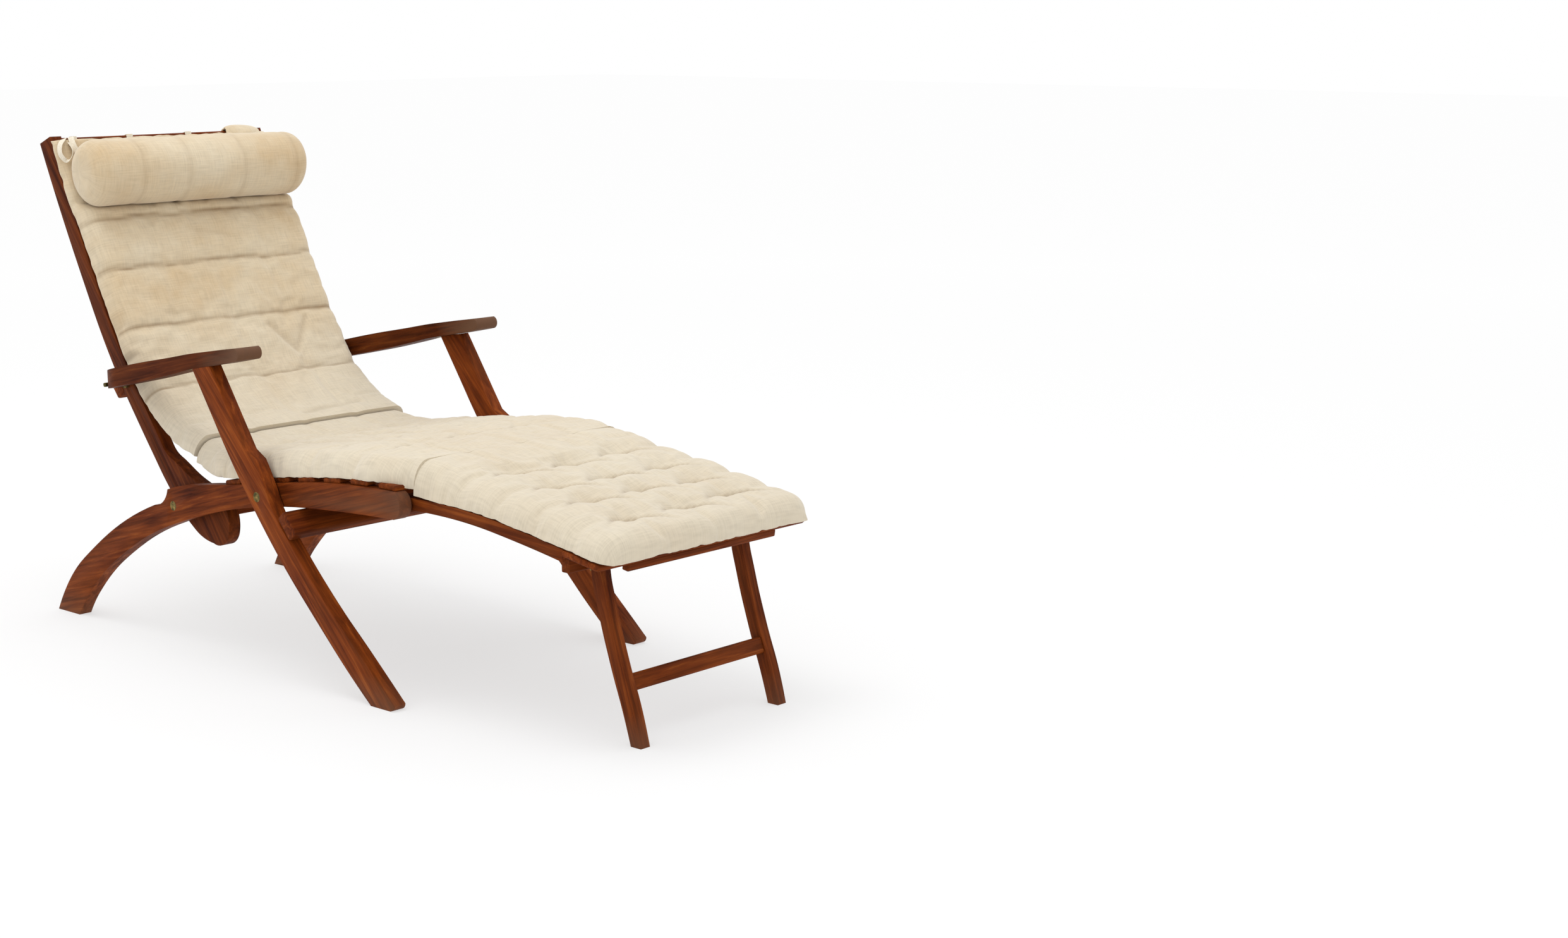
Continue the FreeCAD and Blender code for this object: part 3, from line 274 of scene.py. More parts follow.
def cotton_canvas():
    """Natural cotton canvas, plain-woven from slubby yarn and left unwhitened by bleach: warm cream with faint
    stains, painted light that makes it paler low down on the seat and leg rest than up the back, fully matt,
    a visible cross-hatch of threads, drawn coarser than the real thread so that it shows, and painted shade
    that darkens it in the seams and creases."""
    material, tree, shader = start_material("natural_cotton_canvas")
    cloth = add_node(tree, "ShaderNodeUVMap", {"uv_map": "cloth"})
    warp_map = add_node(tree, "ShaderNodeMapping", {"Scale": (420.0, 26.0, 1.0)}, {"Vector": (cloth, "UV")})
    weft_map = add_node(tree, "ShaderNodeMapping", {"Scale": (26.0, 420.0, 1.0)}, {"Vector": (cloth, "UV")})
    warp = add_node(tree, "ShaderNodeTexNoise", {"Scale": 1.0, "Detail": 2.0},
                    {"Vector": (warp_map, "Vector")})
    weft = add_node(tree, "ShaderNodeTexNoise", {"Scale": 1.0, "Detail": 2.0},
                    {"Vector": (weft_map, "Vector")})
    threads = add_node(tree, "ShaderNodeMath", {"operation": "ADD"}, {0: (warp, "Fac"), 1: (weft, "Fac")})
    half = add_node(tree, "ShaderNodeMath", {"operation": "MULTIPLY", 1: 0.5}, {0: (threads, 0)})
    weave = ramp(tree, half, 0, [(0.36, grey(0.86)), (0.5, grey(0.97)), (0.64, grey(1.05))])
    place = add_node(tree, "ShaderNodeTexCoord")
    stains = add_node(tree, "ShaderNodeTexNoise", {"Scale": 6.5, "Detail": 5.0, "Roughness": 0.6},
                      {"Vector": (place, "Object")})
    canvas = tuple(bpy.context.scene.deck_chair_mattress.canvas) + (1.0,)
    ground = ramp(tree, stains, "Fac", [(0.30, linear("#C6AD88")), (0.44, linear("#CDB999")),
                                        (0.60, canvas), (0.75, linear("#D6C9B0"))])
    split = add_node(tree, "ShaderNodeSeparateXYZ", links={"Vector": (place, "Object")})
    # Painted light: the canvas is drawn paler low down, on the seat and leg rest, and darker up the back,
    # standing in for how the light falls on it
    paler_low_painted_light = add_node(tree, "ShaderNodeMapRange", {1: 0.62, 2: 0.40, 3: 0.0, 4: 0.75}, {0: (split, "Z")})
    painted_light_by_height = add_node(tree, "ShaderNodeMix", {"data_type": "RGBA", "blend_type": "MIX"},
                        {"Factor": (paler_low_painted_light, 0), "A": (ground, "Color")})
    painted_light_by_height.inputs["B"].default_value = linear("#D4CAB6")
    woven = add_node(tree, "ShaderNodeMix", {"data_type": "RGBA", "blend_type": "MULTIPLY"},
                     {"A": (painted_light_by_height, "Result"), "B": (weave, "Color")})
    woven.inputs["Factor"].default_value = 0.8
    # Painted shade: the crease attribute darkens the canvas in the seams, in the crescent wrinkles above the
    # tufts and along the folds
    crease = add_node(tree, "ShaderNodeAttribute", {"attribute_name": "crease"})
    crease_shade = add_node(tree, "ShaderNodeMix", {"data_type": "RGBA", "blend_type": "MULTIPLY"},
                     {"Factor": (crease, "Fac"), "A": (woven, "Result")})
    crease_shade.inputs["B"].default_value = linear("#9A8160")
    tree.links.new(crease_shade.outputs["Result"], shader.inputs["Base Color"])
    shader.inputs["Roughness"].default_value = 0.92
    shader.inputs["Specular IOR Level"].default_value = 0.25
    shader.inputs["Sheen Weight"].default_value = 0.25
    shader.inputs["Sheen Roughness"].default_value = 0.5
    crumple_map = add_node(tree, "ShaderNodeMapping", {"Scale": (34.0, 22.0, 1.0)}, {"Vector": (cloth, "UV")})
    crumple = add_node(tree, "ShaderNodeTexNoise",
                       {"Scale": 1.0, "Detail": 4.0, "Roughness": 0.55, "Distortion": 0.4},
                       {"Vector": (crumple_map, "Vector")})
    soft = add_node(tree, "ShaderNodeBump", {"Strength": 0.35, "Distance": 0.004},
                    {"Height": (crumple, "Fac")})
    relief = add_node(tree, "ShaderNodeBump", {"Strength": 0.5, "Distance": 0.0006},
                      {"Height": (half, 0), "Normal": (soft, "Normal")})
    tree.links.new(relief.outputs["Normal"], shader.inputs["Normal"])
    return material


def cotton_tape():
    """Narrow woven cotton tape: paler than the canvas, matt, ribbed across."""
    material, tree, shader = start_material("woven_cotton_tape")
    place = add_node(tree, "ShaderNodeTexCoord")
    ribs = add_node(tree, "ShaderNodeTexNoise", {"Scale": 900.0, "Detail": 2.0},
                    {"Vector": (place, "Object")})
    colour = ramp(tree, ribs, "Fac", [(0.3, linear("#CFC3AC")), (0.7, linear("#EFE7D6"))])
    tree.links.new(colour.outputs["Color"], shader.inputs["Base Color"])
    shader.inputs["Roughness"].default_value = 0.9
    relief = add_node(tree, "ShaderNodeBump", {"Strength": 0.5, "Distance": 0.0004},
                      {"Height": (ribs, "Fac")})
    tree.links.new(relief.outputs["Normal"], shader.inputs["Normal"])
    return material


def aged_brass():
    """Cast and turned brass left to dull: brown-green patina with brighter rubbed spots."""
    material, tree, shader = start_material("patinated_brass")
    place = add_node(tree, "ShaderNodeTexCoord")
    patches = add_node(tree, "ShaderNodeTexNoise", {"Scale": 160.0, "Detail": 5.0},
                       {"Vector": (place, "Object")})
    colour = ramp(tree, patches, "Fac", [(0.35, linear("#4E4A2C")), (0.55, linear("#7E6C3C")),
                                         (0.75, linear("#A98E52"))])
    tree.links.new(colour.outputs["Color"], shader.inputs["Base Color"])
    shader.inputs["Metallic"].default_value = 1.0
    dull = add_node(tree, "ShaderNodeMapRange", {1: 0.3, 2: 0.7, 3: 0.62, 4: 0.38}, {0: (patches, "Fac")})
    tree.links.new(dull.outputs[0], shader.inputs["Roughness"])
    return material


def studio_floor():
    """A matt seamless backdrop, which glows a little so that shadows on it stay pale."""
    material, tree, shader = start_material("studio_floor")
    place = add_node(tree, "ShaderNodeTexCoord")
    away = add_node(tree, "ShaderNodeVectorMath", {"operation": "LENGTH"}, {0: (place, "Object")})
    paler = add_node(tree, "ShaderNodeMapRange", {1: 1.5, 2: 7.0, 3: 0.36, 4: 0.40}, {0: (away, "Value")})
    tree.links.new(paler.outputs[0], shader.inputs["Base Color"])
    shader.inputs["Roughness"].default_value = 0.9
    shader.inputs["Specular IOR Level"].default_value = 0.0
    shader.inputs["Emission Color"].default_value = grey(1.0)
    shader.inputs["Emission Strength"].default_value = 0.585
    return material


MATERIALS = {}


def finish_of(name, maker):
    """A shared material, made once."""
    if name not in MATERIALS:
        MATERIALS[name] = maker()
    return MATERIALS[name]


def write_grain(piece, seed):
    """Stores each point's place along and across its board in millimetres, so the grain runs lengthwise."""
    mesh = piece.data
    points = np.zeros(len(mesh.vertices) * 3)
    mesh.vertices.foreach_get("co", points)
    points = points.reshape(-1, 3)
    centred = points - points.mean(axis=0)
    axes = np.linalg.eigh(centred.T @ centred)[1]
    along = centred @ axes[:, ::-1] / MM
    along += np.array([seed * 731.0, seed * 97.0, seed * 53.0])
    attribute = mesh.attributes.new("grain", "FLOAT_VECTOR", "POINT")
    attribute.data.foreach_set("vector", along.astype(np.float32).ravel())


def write_wear(piece, node):
    """Marks where the timber has gone grey: the noses of the arms and of the seat rails."""
    mesh = piece.data
    worn = mesh.attributes.new("worn", "FLOAT", "POINT")
    if node in ("left_arm", "right_arm"):
        values = [0.85 * max(0.0, min(1.0, (0.155 - v.co.y) / 0.04)) for v in mesh.vertices]
    elif node in ("left_seat_rail", "right_seat_rail"):
        values = [0.55 * max(0.0, min(1.0, (-0.225 - v.co.y) / 0.07)) for v in mesh.vertices]
    else:
        values = [0.0] * len(mesh.vertices)
    worn.data.foreach_set("value", values)


def write_tone_and_light(piece, node, seed):
    """Gives each board its own depth of colour, partly as boards sawn from different logs have and partly
    as painted light and shade: the front legs lightened where the seat shades them, the back stiles darkened.
    """
    usual = 0.92 + 0.05 * (seed * 7 % 5)
    shades = [BOARD_TONES_AND_LIGHT[kind] for kind in BOARD_TONES_AND_LIGHT if node.endswith(kind)]
    tone = piece.data.attributes.new("tone", "FLOAT", "POINT")
    tone.data.foreach_set("value", [shades[0] if shades else usual] * len(piece.data.vertices))


def eased_board(node, body, seed):
    """A sawn member of the frame with its arrises rounded over."""
    settings = bpy.context.scene.deck_chair_timber
    mesh = frame["nodes"][node].data.copy()
    mesh.materials.clear()
    piece = bpy.data.objects.new(node + "_board", mesh)
    bpy.context.scene.collection.objects.link(piece)
    only(piece)
    bpy.ops.object.mode_set(mode="EDIT")
    bpy.ops.mesh.select_all(action="SELECT")
    bpy.ops.mesh.remove_doubles(threshold=0.02 * MM)
    bpy.ops.mesh.dissolve_limited(angle_limit=math.radians(0.3))
    bpy.ops.object.mode_set(mode="OBJECT")
    if mesh.has_custom_normals:
        bpy.ops.mesh.customdata_custom_splitnormals_clear()
    bevel = piece.modifiers.new("rounded arrises", "BEVEL")
    bevel.limit_method = "ANGLE"
    bevel.angle_limit = math.radians(50)
    bevel.width = settings.edge_radius
    bevel.segments = settings.edge_steps
    bevel.use_clamp_overlap = True
    bpy.ops.object.modifier_apply(modifier=bevel.name)
    bpy.ops.object.shade_smooth_by_angle(angle=math.radians(35))
    write_grain(piece, seed)
    write_wear(piece, node)
    write_tone_and_light(piece, node, seed)
    piece.data.materials.append(finish_of("teak", oiled_teak))
    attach(piece, body)
    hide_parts(node)


def boards_of(body, slot):
    """The nodes of a body that take their finish from one material slot."""
    record = frame["record"]
    slots = {part["node"]: part["material_slot"] for part in record["subparts"]}
    return [node for node in record["behaviour"]["bodies"][body] if slots[node] == slot]


def ease_body(body):
    """Eases all boards of a body."""
    for index, node in enumerate(boards_of(body, "teak")):
        eased_board(node, body, index + 1)


def smooth_line(line, count):
    """Evenly spaced points and unit normals on a smooth curve through the line's points."""
    points = [Vector((y, z)) for y, z in line]
    points = [points[0] * 2 - points[1]] + points + [points[-1] * 2 - points[-2]]
    fine = []
    for a, b, c, d in zip(points, points[1:], points[2:], points[3:]):
        for step in range(CURVE_STEPS):
            t = step / CURVE_STEPS
            fine.append(0.5 * (2 * b + (c - a) * t + (2 * a - 5 * b + 4 * c - d) * t * t
                               + (3 * b - a - 3 * c + d) * t ** 3))
    fine.append(points[-2])
    lengths = [0.0]
    for a, b in zip(fine, fine[1:]):
        lengths.append(lengths[-1] + (b - a).length)
    places = []
    index = 0
    for step in range(count):
        goal = lengths[-1] * step / (count - 1)
        while index < len(fine) - 2 and lengths[index + 1] < goal:
            index += 1
        span = lengths[index + 1] - lengths[index]
        point = fine[index].lerp(fine[index + 1], (goal - lengths[index]) / span)
        tangent = (fine[index + 1] - fine[index]).normalized()
        places.append((point, Vector((-tangent.y, tangent.x))))
    return places, lengths[-1]


def rounded_steps(length, spacing, start_radius, end_radius):
    """Positions along a length, closer together round its soft ends."""
    inner_start, inner_end = start_radius, length - end_radius
    count = max(2, round((inner_end - inner_start) / spacing))
    steps = [inner_start + (inner_end - inner_start) * i / count for i in range(count + 1)]
    rises = [1 - math.cos(math.pi / 2 * i / ARC_STEPS) for i in range(ARC_STEPS)]
    if start_radius:
        steps = [start_radius * rise for rise in rises] + steps
    if end_radius:
        steps += [length - end_radius * rise for rise in reversed(rises)]
    return steps


def soft_side(distance, radius):
    """Share of the full loft at a distance from an edge of that radius."""
    if radius <= 0 or distance >= radius:
        return 1.0
    return math.sqrt(max(0.0, 1 - (1 - distance / radius) ** 2))


def blend_along(stops, share):
    """A value between (share, value) stops, eased from one to the next."""
    for (start, first), (end, second) in zip(stops, stops[1:]):
        if share <= end:
            t = max(0.0, (share - start) / (end - start))
            return first + (second - first) * t * t * (3 - 2 * t)
    return stops[-1][1]


def bell(distance, breadth):
    """1 at no distance, falling off smoothly over the breadth."""
    return math.exp(-(distance / breadth) ** 2)


def from_fold(x, share, fold):
    """Distance in metres from a short fold between two (x, share of the length, length in metres) ends."""
    (x0, s0), (x1, s1), length = fold
    ux, us = x1 - x0, (s1 - s0) * length
    px, ps = x - x0, (share - s0) * length
    t = min(1.0, max(0.0, (px * ux + ps * us) / (ux * ux + us * us)))
    return math.hypot(px - t * ux, ps - t * us)


def sewn_object(name, vertices, faces, uvs, creases):
    """A new piece of cloth with its own UV map and the depth of the creases at its points, which sets the
    painted shade in them.
    """
    mesh = bpy.data.meshes.new(name)
    mesh.from_pydata(vertices, [], faces)
    cloth = mesh.uv_layers.new(name="cloth")
    for loop in mesh.loops:
        cloth.data[loop.index].uv = uvs[loop.vertex_index]
    crease_shade_layer = mesh.attributes.new("crease", "FLOAT", "POINT")
    crease_shade_layer.data.foreach_set("value", creases)
    piece = bpy.data.objects.new(name, mesh)
    bpy.context.scene.collection.objects.link(piece)
    return piece


def face_outwards(piece, merge=0.0):
    """Merges a piece's doubles, if a distance is given, and turns its faces outwards."""
    only(piece)
    bpy.ops.object.mode_set(mode="EDIT")
    bpy.ops.mesh.select_all(action="SELECT")
    if merge:
        bpy.ops.mesh.remove_doubles(threshold=merge)
    bpy.ops.mesh.normals_make_consistent(inside=False)
    bpy.ops.object.mode_set(mode="OBJECT")


def quilted_pad(name, line, halves, lofts, rims, rows, radii, side, seam, tuft, folds=(), plumb=()):
    """A sewn pad on a line: two sheets joined round the rim, drawn in along its seams and at its tufts.
    Its half width, loft and rim height follow (share of the length, value) stops. Rows are the shares where
    it is stitched across, radii the roundness of its two ends, and side that of its long edges. Seam and
    tuft are how hard the stitching draws, folds are creases of their own, and ends at the plumb shares
    stand upright."""
    settings = bpy.context.scene.deck_chair_mattress
    fine, length = smooth_line(line, LINE_POINTS)
    widest = max(half for share, half in halves)
    across = [x / widest - 1 for x in rounded_steps(2 * widest, settings.spacing, side, side)]
    along = rounded_steps(length, settings.spacing, *radii)
    wide, long = len(across), len(along)
    vertices, uvs, creases, pins = [], [], [], []
    columns = [2 * (i + 1) / settings.columns - 1 for i in range(settings.columns - 1)]
    shift = sum(map(ord, name)) * 0.37
    stray, bow = (0.0, 0.0) if radii[1] else (WRINKLE_STRAY, WRINKLE_BOW)

    def wave(*place):
        return noise.noise(Vector(place + (shift,)))

    def drawn(x, s, half):
        """How far a point is drawn in by the stitching, and how deep it lies in a crease, which sets its
        painted shade.
        """
        pull, crease = 0.0, 0.0
        for row in rows:
            place = length * row
            wander = 0.005 * wave(x * 11, row * 9) + 0.002 * wave(x * 40, row * 9)
            off = s - place - wander
            if abs(off) > STITCH_REACH:
                continue
            fade = 0.72 + 0.5 * wave(x * 8, row * 31)
            pull = max(pull, seam * fade * (0.13 * bell(off, SEAM_HOLLOW) + 0.10 * bell(off, SEAM_NICK)))
            crease = max(crease, seam * min(1.0, fade) * bell(off, SEAM_CREASE))
            for number, column in enumerate(columns):
                dx = x - column * half - 0.008 * wave(row * 17, number * 3.1)
                if abs(dx) > STITCH_REACH:
                    continue
                reach = WRINKLE_HALF + 0.016 * wave(row * 5, number * 7.7)
                apart = off + stray * wave(row * 23, number * 5.3)
                bend = apart + bow * ((dx + 0.012) / reach) ** 2
                deep = tuft * math.exp(-((apart / TUFT_LENGTH) ** 2 + (dx / TUFT_BREADTH) ** 2))
                short = math.exp(-(dx / reach) ** 4)
                lip = tuft * 0.15 * short * bell(bend, WRINKLE_LIP)
                pull = max(pull, 0.30 * deep + lip)
                # Painted shade: a thin dark crescent along the wrinkle's lip above each tuft
                crease = max(crease, (0.30 + 0.40 * tuft) * short * bell(bend, WRINKLE_CREASE))
        for column in columns:
            pull = max(pull, 0.05 * bell(x - column * half, COLUMN_HOLLOW))
        for fold in folds:
            off = from_fold(x, s / length, (fold[0], fold[1], length))
            pull = max(pull, fold[2] * bell(off, FOLD_HOLLOW))
            crease = max(crease, fold[2] * 1.6 * bell(off, FOLD_CREASE))
        return pull, min(1.0, crease)

    for sheet in (1, -1):
        for s in along:
            index = min(LINE_POINTS - 1, int(round(s / length * (LINE_POINTS - 1))))
            point, normal = fine[index]
            for end in plumb:
                normal = normal.lerp(Vector((0, 1)), bell((s / length - end) * length, PLUMB_END)).normalized()
            near_row = max(bell(s - length * row, ROW_WAIST) for row in rows)
            half = blend_along(halves, s / length) - (0.0030 - 0.0018 * seam) * near_row
            if radii[0]:
                half -= CORNER_ROUND * bell(s, CORNER_ROUND)
            loft = blend_along(lofts, s / length)
            low = blend_along(rims, s / length)
            for share in across:
                waver = 0.0020 * wave(s * 55, math.copysign(2.0, share))
                x = share * (half + waver * abs(share) ** 8)
                edge = soft_side(half * (1 - abs(share)), side)
                edge *= soft_side(s, radii[0]) * soft_side(length - s, radii[1])
                lumps = 0.055 * wave(x * 9, s * 9) + 0.03 * wave(x * 26, s * 26)
                lumps = 1 + lumps * (1 - bell(min(s, length - s), QUIET_END))
                pull, crease = drawn(x, s, half)
                rim = bell(half * (1 - abs(share)), RIM_GATHER)
                gather = 0.5 + 0.5 * wave(s * 62, math.copysign(3.0, share))
                pull = max(pull, (0.14 * near_row * tuft + 0.10 * tuft * gather) * rim)
                if sheet > 0:
                    height = loft * (low + (1 - low) * edge * lumps * (1 - pull))
                else:
                    height = loft * low * (1 - edge)
                    crease = 0.0
                place = point + normal * height
                vertices.append((x, place.x, place.y))
                uvs.append((x, s + (0 if sheet > 0 else 1.0)))
                creases.append(crease)
                butted = (s == along[0] and not radii[0]) or (s == along[-1] and not radii[1])
                pins.append(1.0 if butted or (sheet < 0 and edge > 0.97) else min(1.0, 0.15 + crease))
    faces = []
    total = wide * long
    for sheet in (0, 1):
        for j in range(long - 1):
            for i in range(wide - 1):
                a = sheet * total + j * wide + i
                quad = (a, a + 1, a + wide + 1, a + wide)
                faces.append(quad if sheet == 0 else quad[::-1])
    rim = [(0, i) for i in range(wide)] + [(j, wide - 1) for j in range(1, long)]
    rim += [(long - 1, i) for i in range(wide - 2, -1, -1)] + [(j, 0) for j in range(long - 2, 0, -1)]
    for (j0, i0), (j1, i1) in zip(rim, rim[1:] + rim[:1]):
        a, b = j0 * wide + i0, j1 * wide + i1
        faces.append((b, a, a + total, b + total))
    piece = sewn_object(name, vertices, faces, uvs, creases)
    mesh = piece.data
    blunt = {j for j, radius in ((0, radii[0]), (long - 1, radii[1])) if not radius}
    firm = mesh.attributes.new("crease_edge", "FLOAT", "EDGE")
    firm.data.foreach_set("value", [
        1.0 if all(v % total // wide in blunt for v in edge.vertices) else 0.0 for edge in mesh.edges])
    held = piece.vertex_groups.new(name="held")
    for index, weight in enumerate(pins):
        held.add([index], weight, "REPLACE")
    face_outwards(piece, 0.05 * MM)
    return piece


def swell(piece, pressure, extra_cloth, cap):
    """Lets the filling press the cloth out between the points that are held, then keeps the result."""
    scene = bpy.context.scene
    start = [v.co.copy() for v in piece.data.vertices]
    cloth = piece.modifiers.new("filling", "CLOTH")
    cloth.settings.quality = 5
    cloth.settings.mass = 0.3
    cloth.settings.tension_stiffness = 12
    cloth.settings.compression_stiffness = 12
    cloth.settings.shear_stiffness = 4
    cloth.settings.bending_stiffness = 0.6
    cloth.settings.air_damping = 2
    cloth.settings.use_pressure = True
    cloth.settings.uniform_pressure_force = pressure
    cloth.settings.shrink_min = -extra_cloth
    cloth.settings.vertex_group_mass = "held"
    cloth.settings.effector_weights.gravity = 0
    cloth.collision_settings.use_collision = False
    cloth.point_cache.frame_start = 1
    cloth.point_cache.frame_end = SWELL_FRAMES
    for number in range(1, SWELL_FRAMES + 1):
        scene.frame_set(number)
    shaped = piece.evaluated_get(bpy.context.evaluated_depsgraph_get())
    ends = [v.co.copy() for v in shaped.data.vertices]
    piece.modifiers.remove(cloth)
    for vertex, old, new in zip(piece.data.vertices, start, ends):
        step = new - old
        if step.length > cap:
            step *= cap / step.length
        vertex.co = old + step
    scene.frame_set(1)


def finish_cloth(piece, body, node):
    """Smooths a sewn piece, gives it its canvas, attaches it to its body and hides the part that it takes the
    place of.
    """
    only(piece)
    finer = piece.modifiers.new("finer cloth", "SUBSURF")
    finer.levels = 1
    finer.render_levels = 1
    bpy.ops.object.modifier_apply(modifier=finer.name)
    bpy.ops.object.shade_smooth_by_angle(angle=math.radians(55))
    piece.data.materials.append(finish_of("canvas", cotton_canvas))
    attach(piece, body)
    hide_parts(node)
    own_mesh(piece)


class DECKCHAIR_OT_stage(bpy.types.Operator):
    """Adds the floor, the lights and the camera"""
    bl_idname = "deckchair.stage"
    bl_label = "Stage"

    def execute(self, context):
        bpy.ops.object.select_all(action="DESELECT")
        bpy.ops.mesh.primitive_plane_add(size=context.scene.deck_chair_stage.floor_size, location=(0, 0, 0))
        floor = context.object
        floor.name = "studio_floor"
        floor.data.materials.append(finish_of("floor", studio_floor))
        world = bpy.data.worlds.new("studio_sky")
        world.use_nodes = True
        sky = world.node_tree.nodes["Background"]
        sky.inputs["Color"].default_value = grey(1.0)
        sky.inputs["Strength"].default_value = 1.0
        context.scene.world = world
        for name, place, size, power in (("key_light", (-0.6, 0.4, 4.4), 2.4, 55.0),
                                         ("fill_light", (-4.2, -3.0, 2.2), 3.0, 8.0)):
            bpy.ops.object.light_add(type="AREA", location=place)
            lamp = context.object
            lamp.name = name
            lamp.data.size = size
            lamp.data.energy = power
            aim = Vector((0, 0, 0.45)) - Vector(place)
            lamp.rotation_euler = aim.to_track_quat("-Z", "Y").to_euler()
        bpy.ops.object.camera_add(location=CAMERA_PLACE)
        camera = context.object
        camera.name = "photo_camera"
        camera.data.sensor_width = SENSOR_WIDTH
        camera.data.lens = SENSOR_WIDTH * FOCAL_PIXELS / PHOTO_WIDTH
        camera.rotation_euler = (math.radians(90 - CAMERA_DIP), 0, math.radians(-CAMERA_HEADING))
        context.scene.camera = camera
        context.scene.view_settings.view_transform = "Standard"
        return {"FINISHED"}


class DECKCHAIR_OT_seat_frame(bpy.types.Operator):
    """Eases and oils the seat rails, slats and crossbar"""
    bl_idname = "deckchair.seat_frame"
    bl_label = "Seat frame"

    def execute(self, context):
        ease_body("seat_frame")
        return {"FINISHED"}


class DECKCHAIR_OT_back_frame(bpy.types.Operator):
    """Eases and oils the stiles, slats and cross rails of the back"""
    bl_idname = "deckchair.back_frame"
    bl_label = "Back frame"

    def execute(self, context):
        ease_body("back")
        return {"FINISHED"}


class DECKCHAIR_OT_front_frame(bpy.types.Operator):
    """Eases and oils the front legs, their cross rail and the arms"""
    bl_idname = "deckchair.front_frame"
    bl_label = "Front legs and arms"

    def execute(self, context):
        for body in ("front_legs", "left_armrest", "right_armrest"):
            ease_body(body)
        return {"FINISHED"}


class DECKCHAIR_OT_leg_rest(bpy.types.Operator):
    """Eases and oils the sliding leg rest and its folding legs"""
    bl_idname = "deckchair.leg_rest"
    bl_label = "Leg rest"

    def execute(self, context):
        for body in ("leg_rest", "rest_legs"):
            ease_body(body)
        return {"FINISHED"}


class DECKCHAIR_OT_fittings(bpy.types.Operator):
    """Gives the bolts, washers, pins and hinges their aged brass"""
    bl_idname = "deckchair.fittings"
    bl_label = "Brass fittings"

    def execute(self, context):
        for body in frame["bodies"]:
            for node in boards_of(body, "brass"):
                mesh = frame["nodes"][node].data
                mesh.materials.clear()
                mesh.materials.append(finish_of("brass", aged_brass))
        return {"FINISHED"}


class DECKCHAIR_OT_mattress(bpy.types.Operator):
    """Makes the three quilted lengths of the mattress"""
    bl_idname = "deckchair.mattress"
    bl_label = "Mattress"

    def execute(self, context):
        settings = context.scene.deck_chair_mattress
        loft = settings.thickness
        seat = quilted_pad(
            "seat_cushion", SEAT_LINE,
            halves=[(0, settings.rest_half), (0.14, settings.seat_half), (0.8, settings.seat_half),
                    (1, settings.rest_half)],
            lofts=[(0, loft * 0.92), (0.3, loft), (1, loft)],
            rims=[(0, -0.20), (0.10, 0.0), (0.8, 0.0), (1, 0.06)],
            rows=[0.22, 0.42, 0.62, 0.82], radii=(0, 0), side=0.034, seam=0.10, tuft=0.50, plumb=(0,))
        swell(seat, pressure=2.0, extra_cloth=0.03, cap=0.008)
        finish_cloth(seat, "seat_frame", "seat_pad")
        half = settings.back_half
        back = quilted_pad(
            "back_cushion", BACK_LINE, halves=[(0, half), (1, half)],
            lofts=[(0, loft), (0.77, loft), (0.825, settings.flap), (1, settings.flap)],
            rims=[(0, 0.12), (1, 0.12)], rows=[0.244, 0.440, 0.611, 0.752], radii=(0, 0.008),
            side=settings.side_radius, seam=0.9, tuft=0.45,
            folds=[((0.070, 0.405), (0.112, 0.315), 0.13), ((0.112, 0.315), (0.160, 0.415), 0.12),
                   ((-0.02, 0.70), (0.05, 0.68), 0.06), ((0.02, 0.035), (0.16, 0.060), 0.10)])
        swell(back, pressure=2.0, extra_cloth=0.02, cap=0.006)
        finish_cloth(back, "back", "back_pad")
        half = settings.rest_half
        rest = quilted_pad(
            "leg_cushion", REST_LINE, halves=[(0, half), (1, half)],
            lofts=[(0, loft), (0.7, loft * 1.04), (1, loft * 1.22)],
            rims=[(0, 0.10), (0.6, 0.04), (1, -0.10)],
            rows=[0.19, 0.38, 0.57, 0.76], radii=(0.030, 0), side=0.038, seam=0.05, tuft=1.0, plumb=(1,))
        swell(rest, pressure=2.0, extra_cloth=0.03, cap=0.008)
        finish_cloth(rest, "leg_rest", "leg_pad")
        return {"FINISHED"}


class DECKCHAIR_OT_head_roll(bpy.types.Operator):
    """Makes the stuffed roll at the top of the back"""
    bl_idname = "deckchair.head_roll"
    bl_label = "Head roll"

    def execute(self, context):
        radius, half, tip = 0.0585, 0.2485, 0.032
        along = [x - half for x in rounded_steps(2 * half, 0.007, tip, tip)]
        around = 56
        vertices, uvs, creases = [], [], []
        for x in along:
            edge = soft_side(half - abs(x), tip)
            seam = 0.0
            for column in (-0.59, -0.18, 0.34, 0.84):
                seam = max(seam, bell(x - column * half, 0.0055))
            for step in range(around):
                angle = 2 * math.pi * step / around
                lumps = 0.020 * noise.noise(Vector((x * 12, math.cos(angle) * 1.3, math.sin(angle) * 1.3)))
                size = radius * (0.42 + 0.58 * edge) * (1 - 0.024 * seam + lumps)
                drop = 0.009 * max(0.0, -math.sin(angle)) * size / radius
                vertices.append((x, ROLL_CENTRE[0] + size * math.cos(angle),
                                 ROLL_CENTRE[1] + size * math.sin(angle) - drop))
                uvs.append((x, angle * radius))
                # Painted shade: the roll's canvas is darkened along its seams
                creases.append(0.15 * seam)
        faces = []
        for j in range(len(along) - 1):
            for i in range(around):
                k = (i + 1) % around
                faces.append((j * around + i, (j + 1) * around + i, (j + 1) * around + k, j * around + k))
        faces.append(tuple(range(around)))
        last = (len(along) - 1) * around
        faces.append(tuple(last + i for i in range(around))[::-1])
        piece = sewn_object("stuffed_head_roll", vertices, faces, uvs, creases)
        face_outwards(piece)
        finish_cloth(piece, "back", "head_roll")
        return {"FINISHED"}


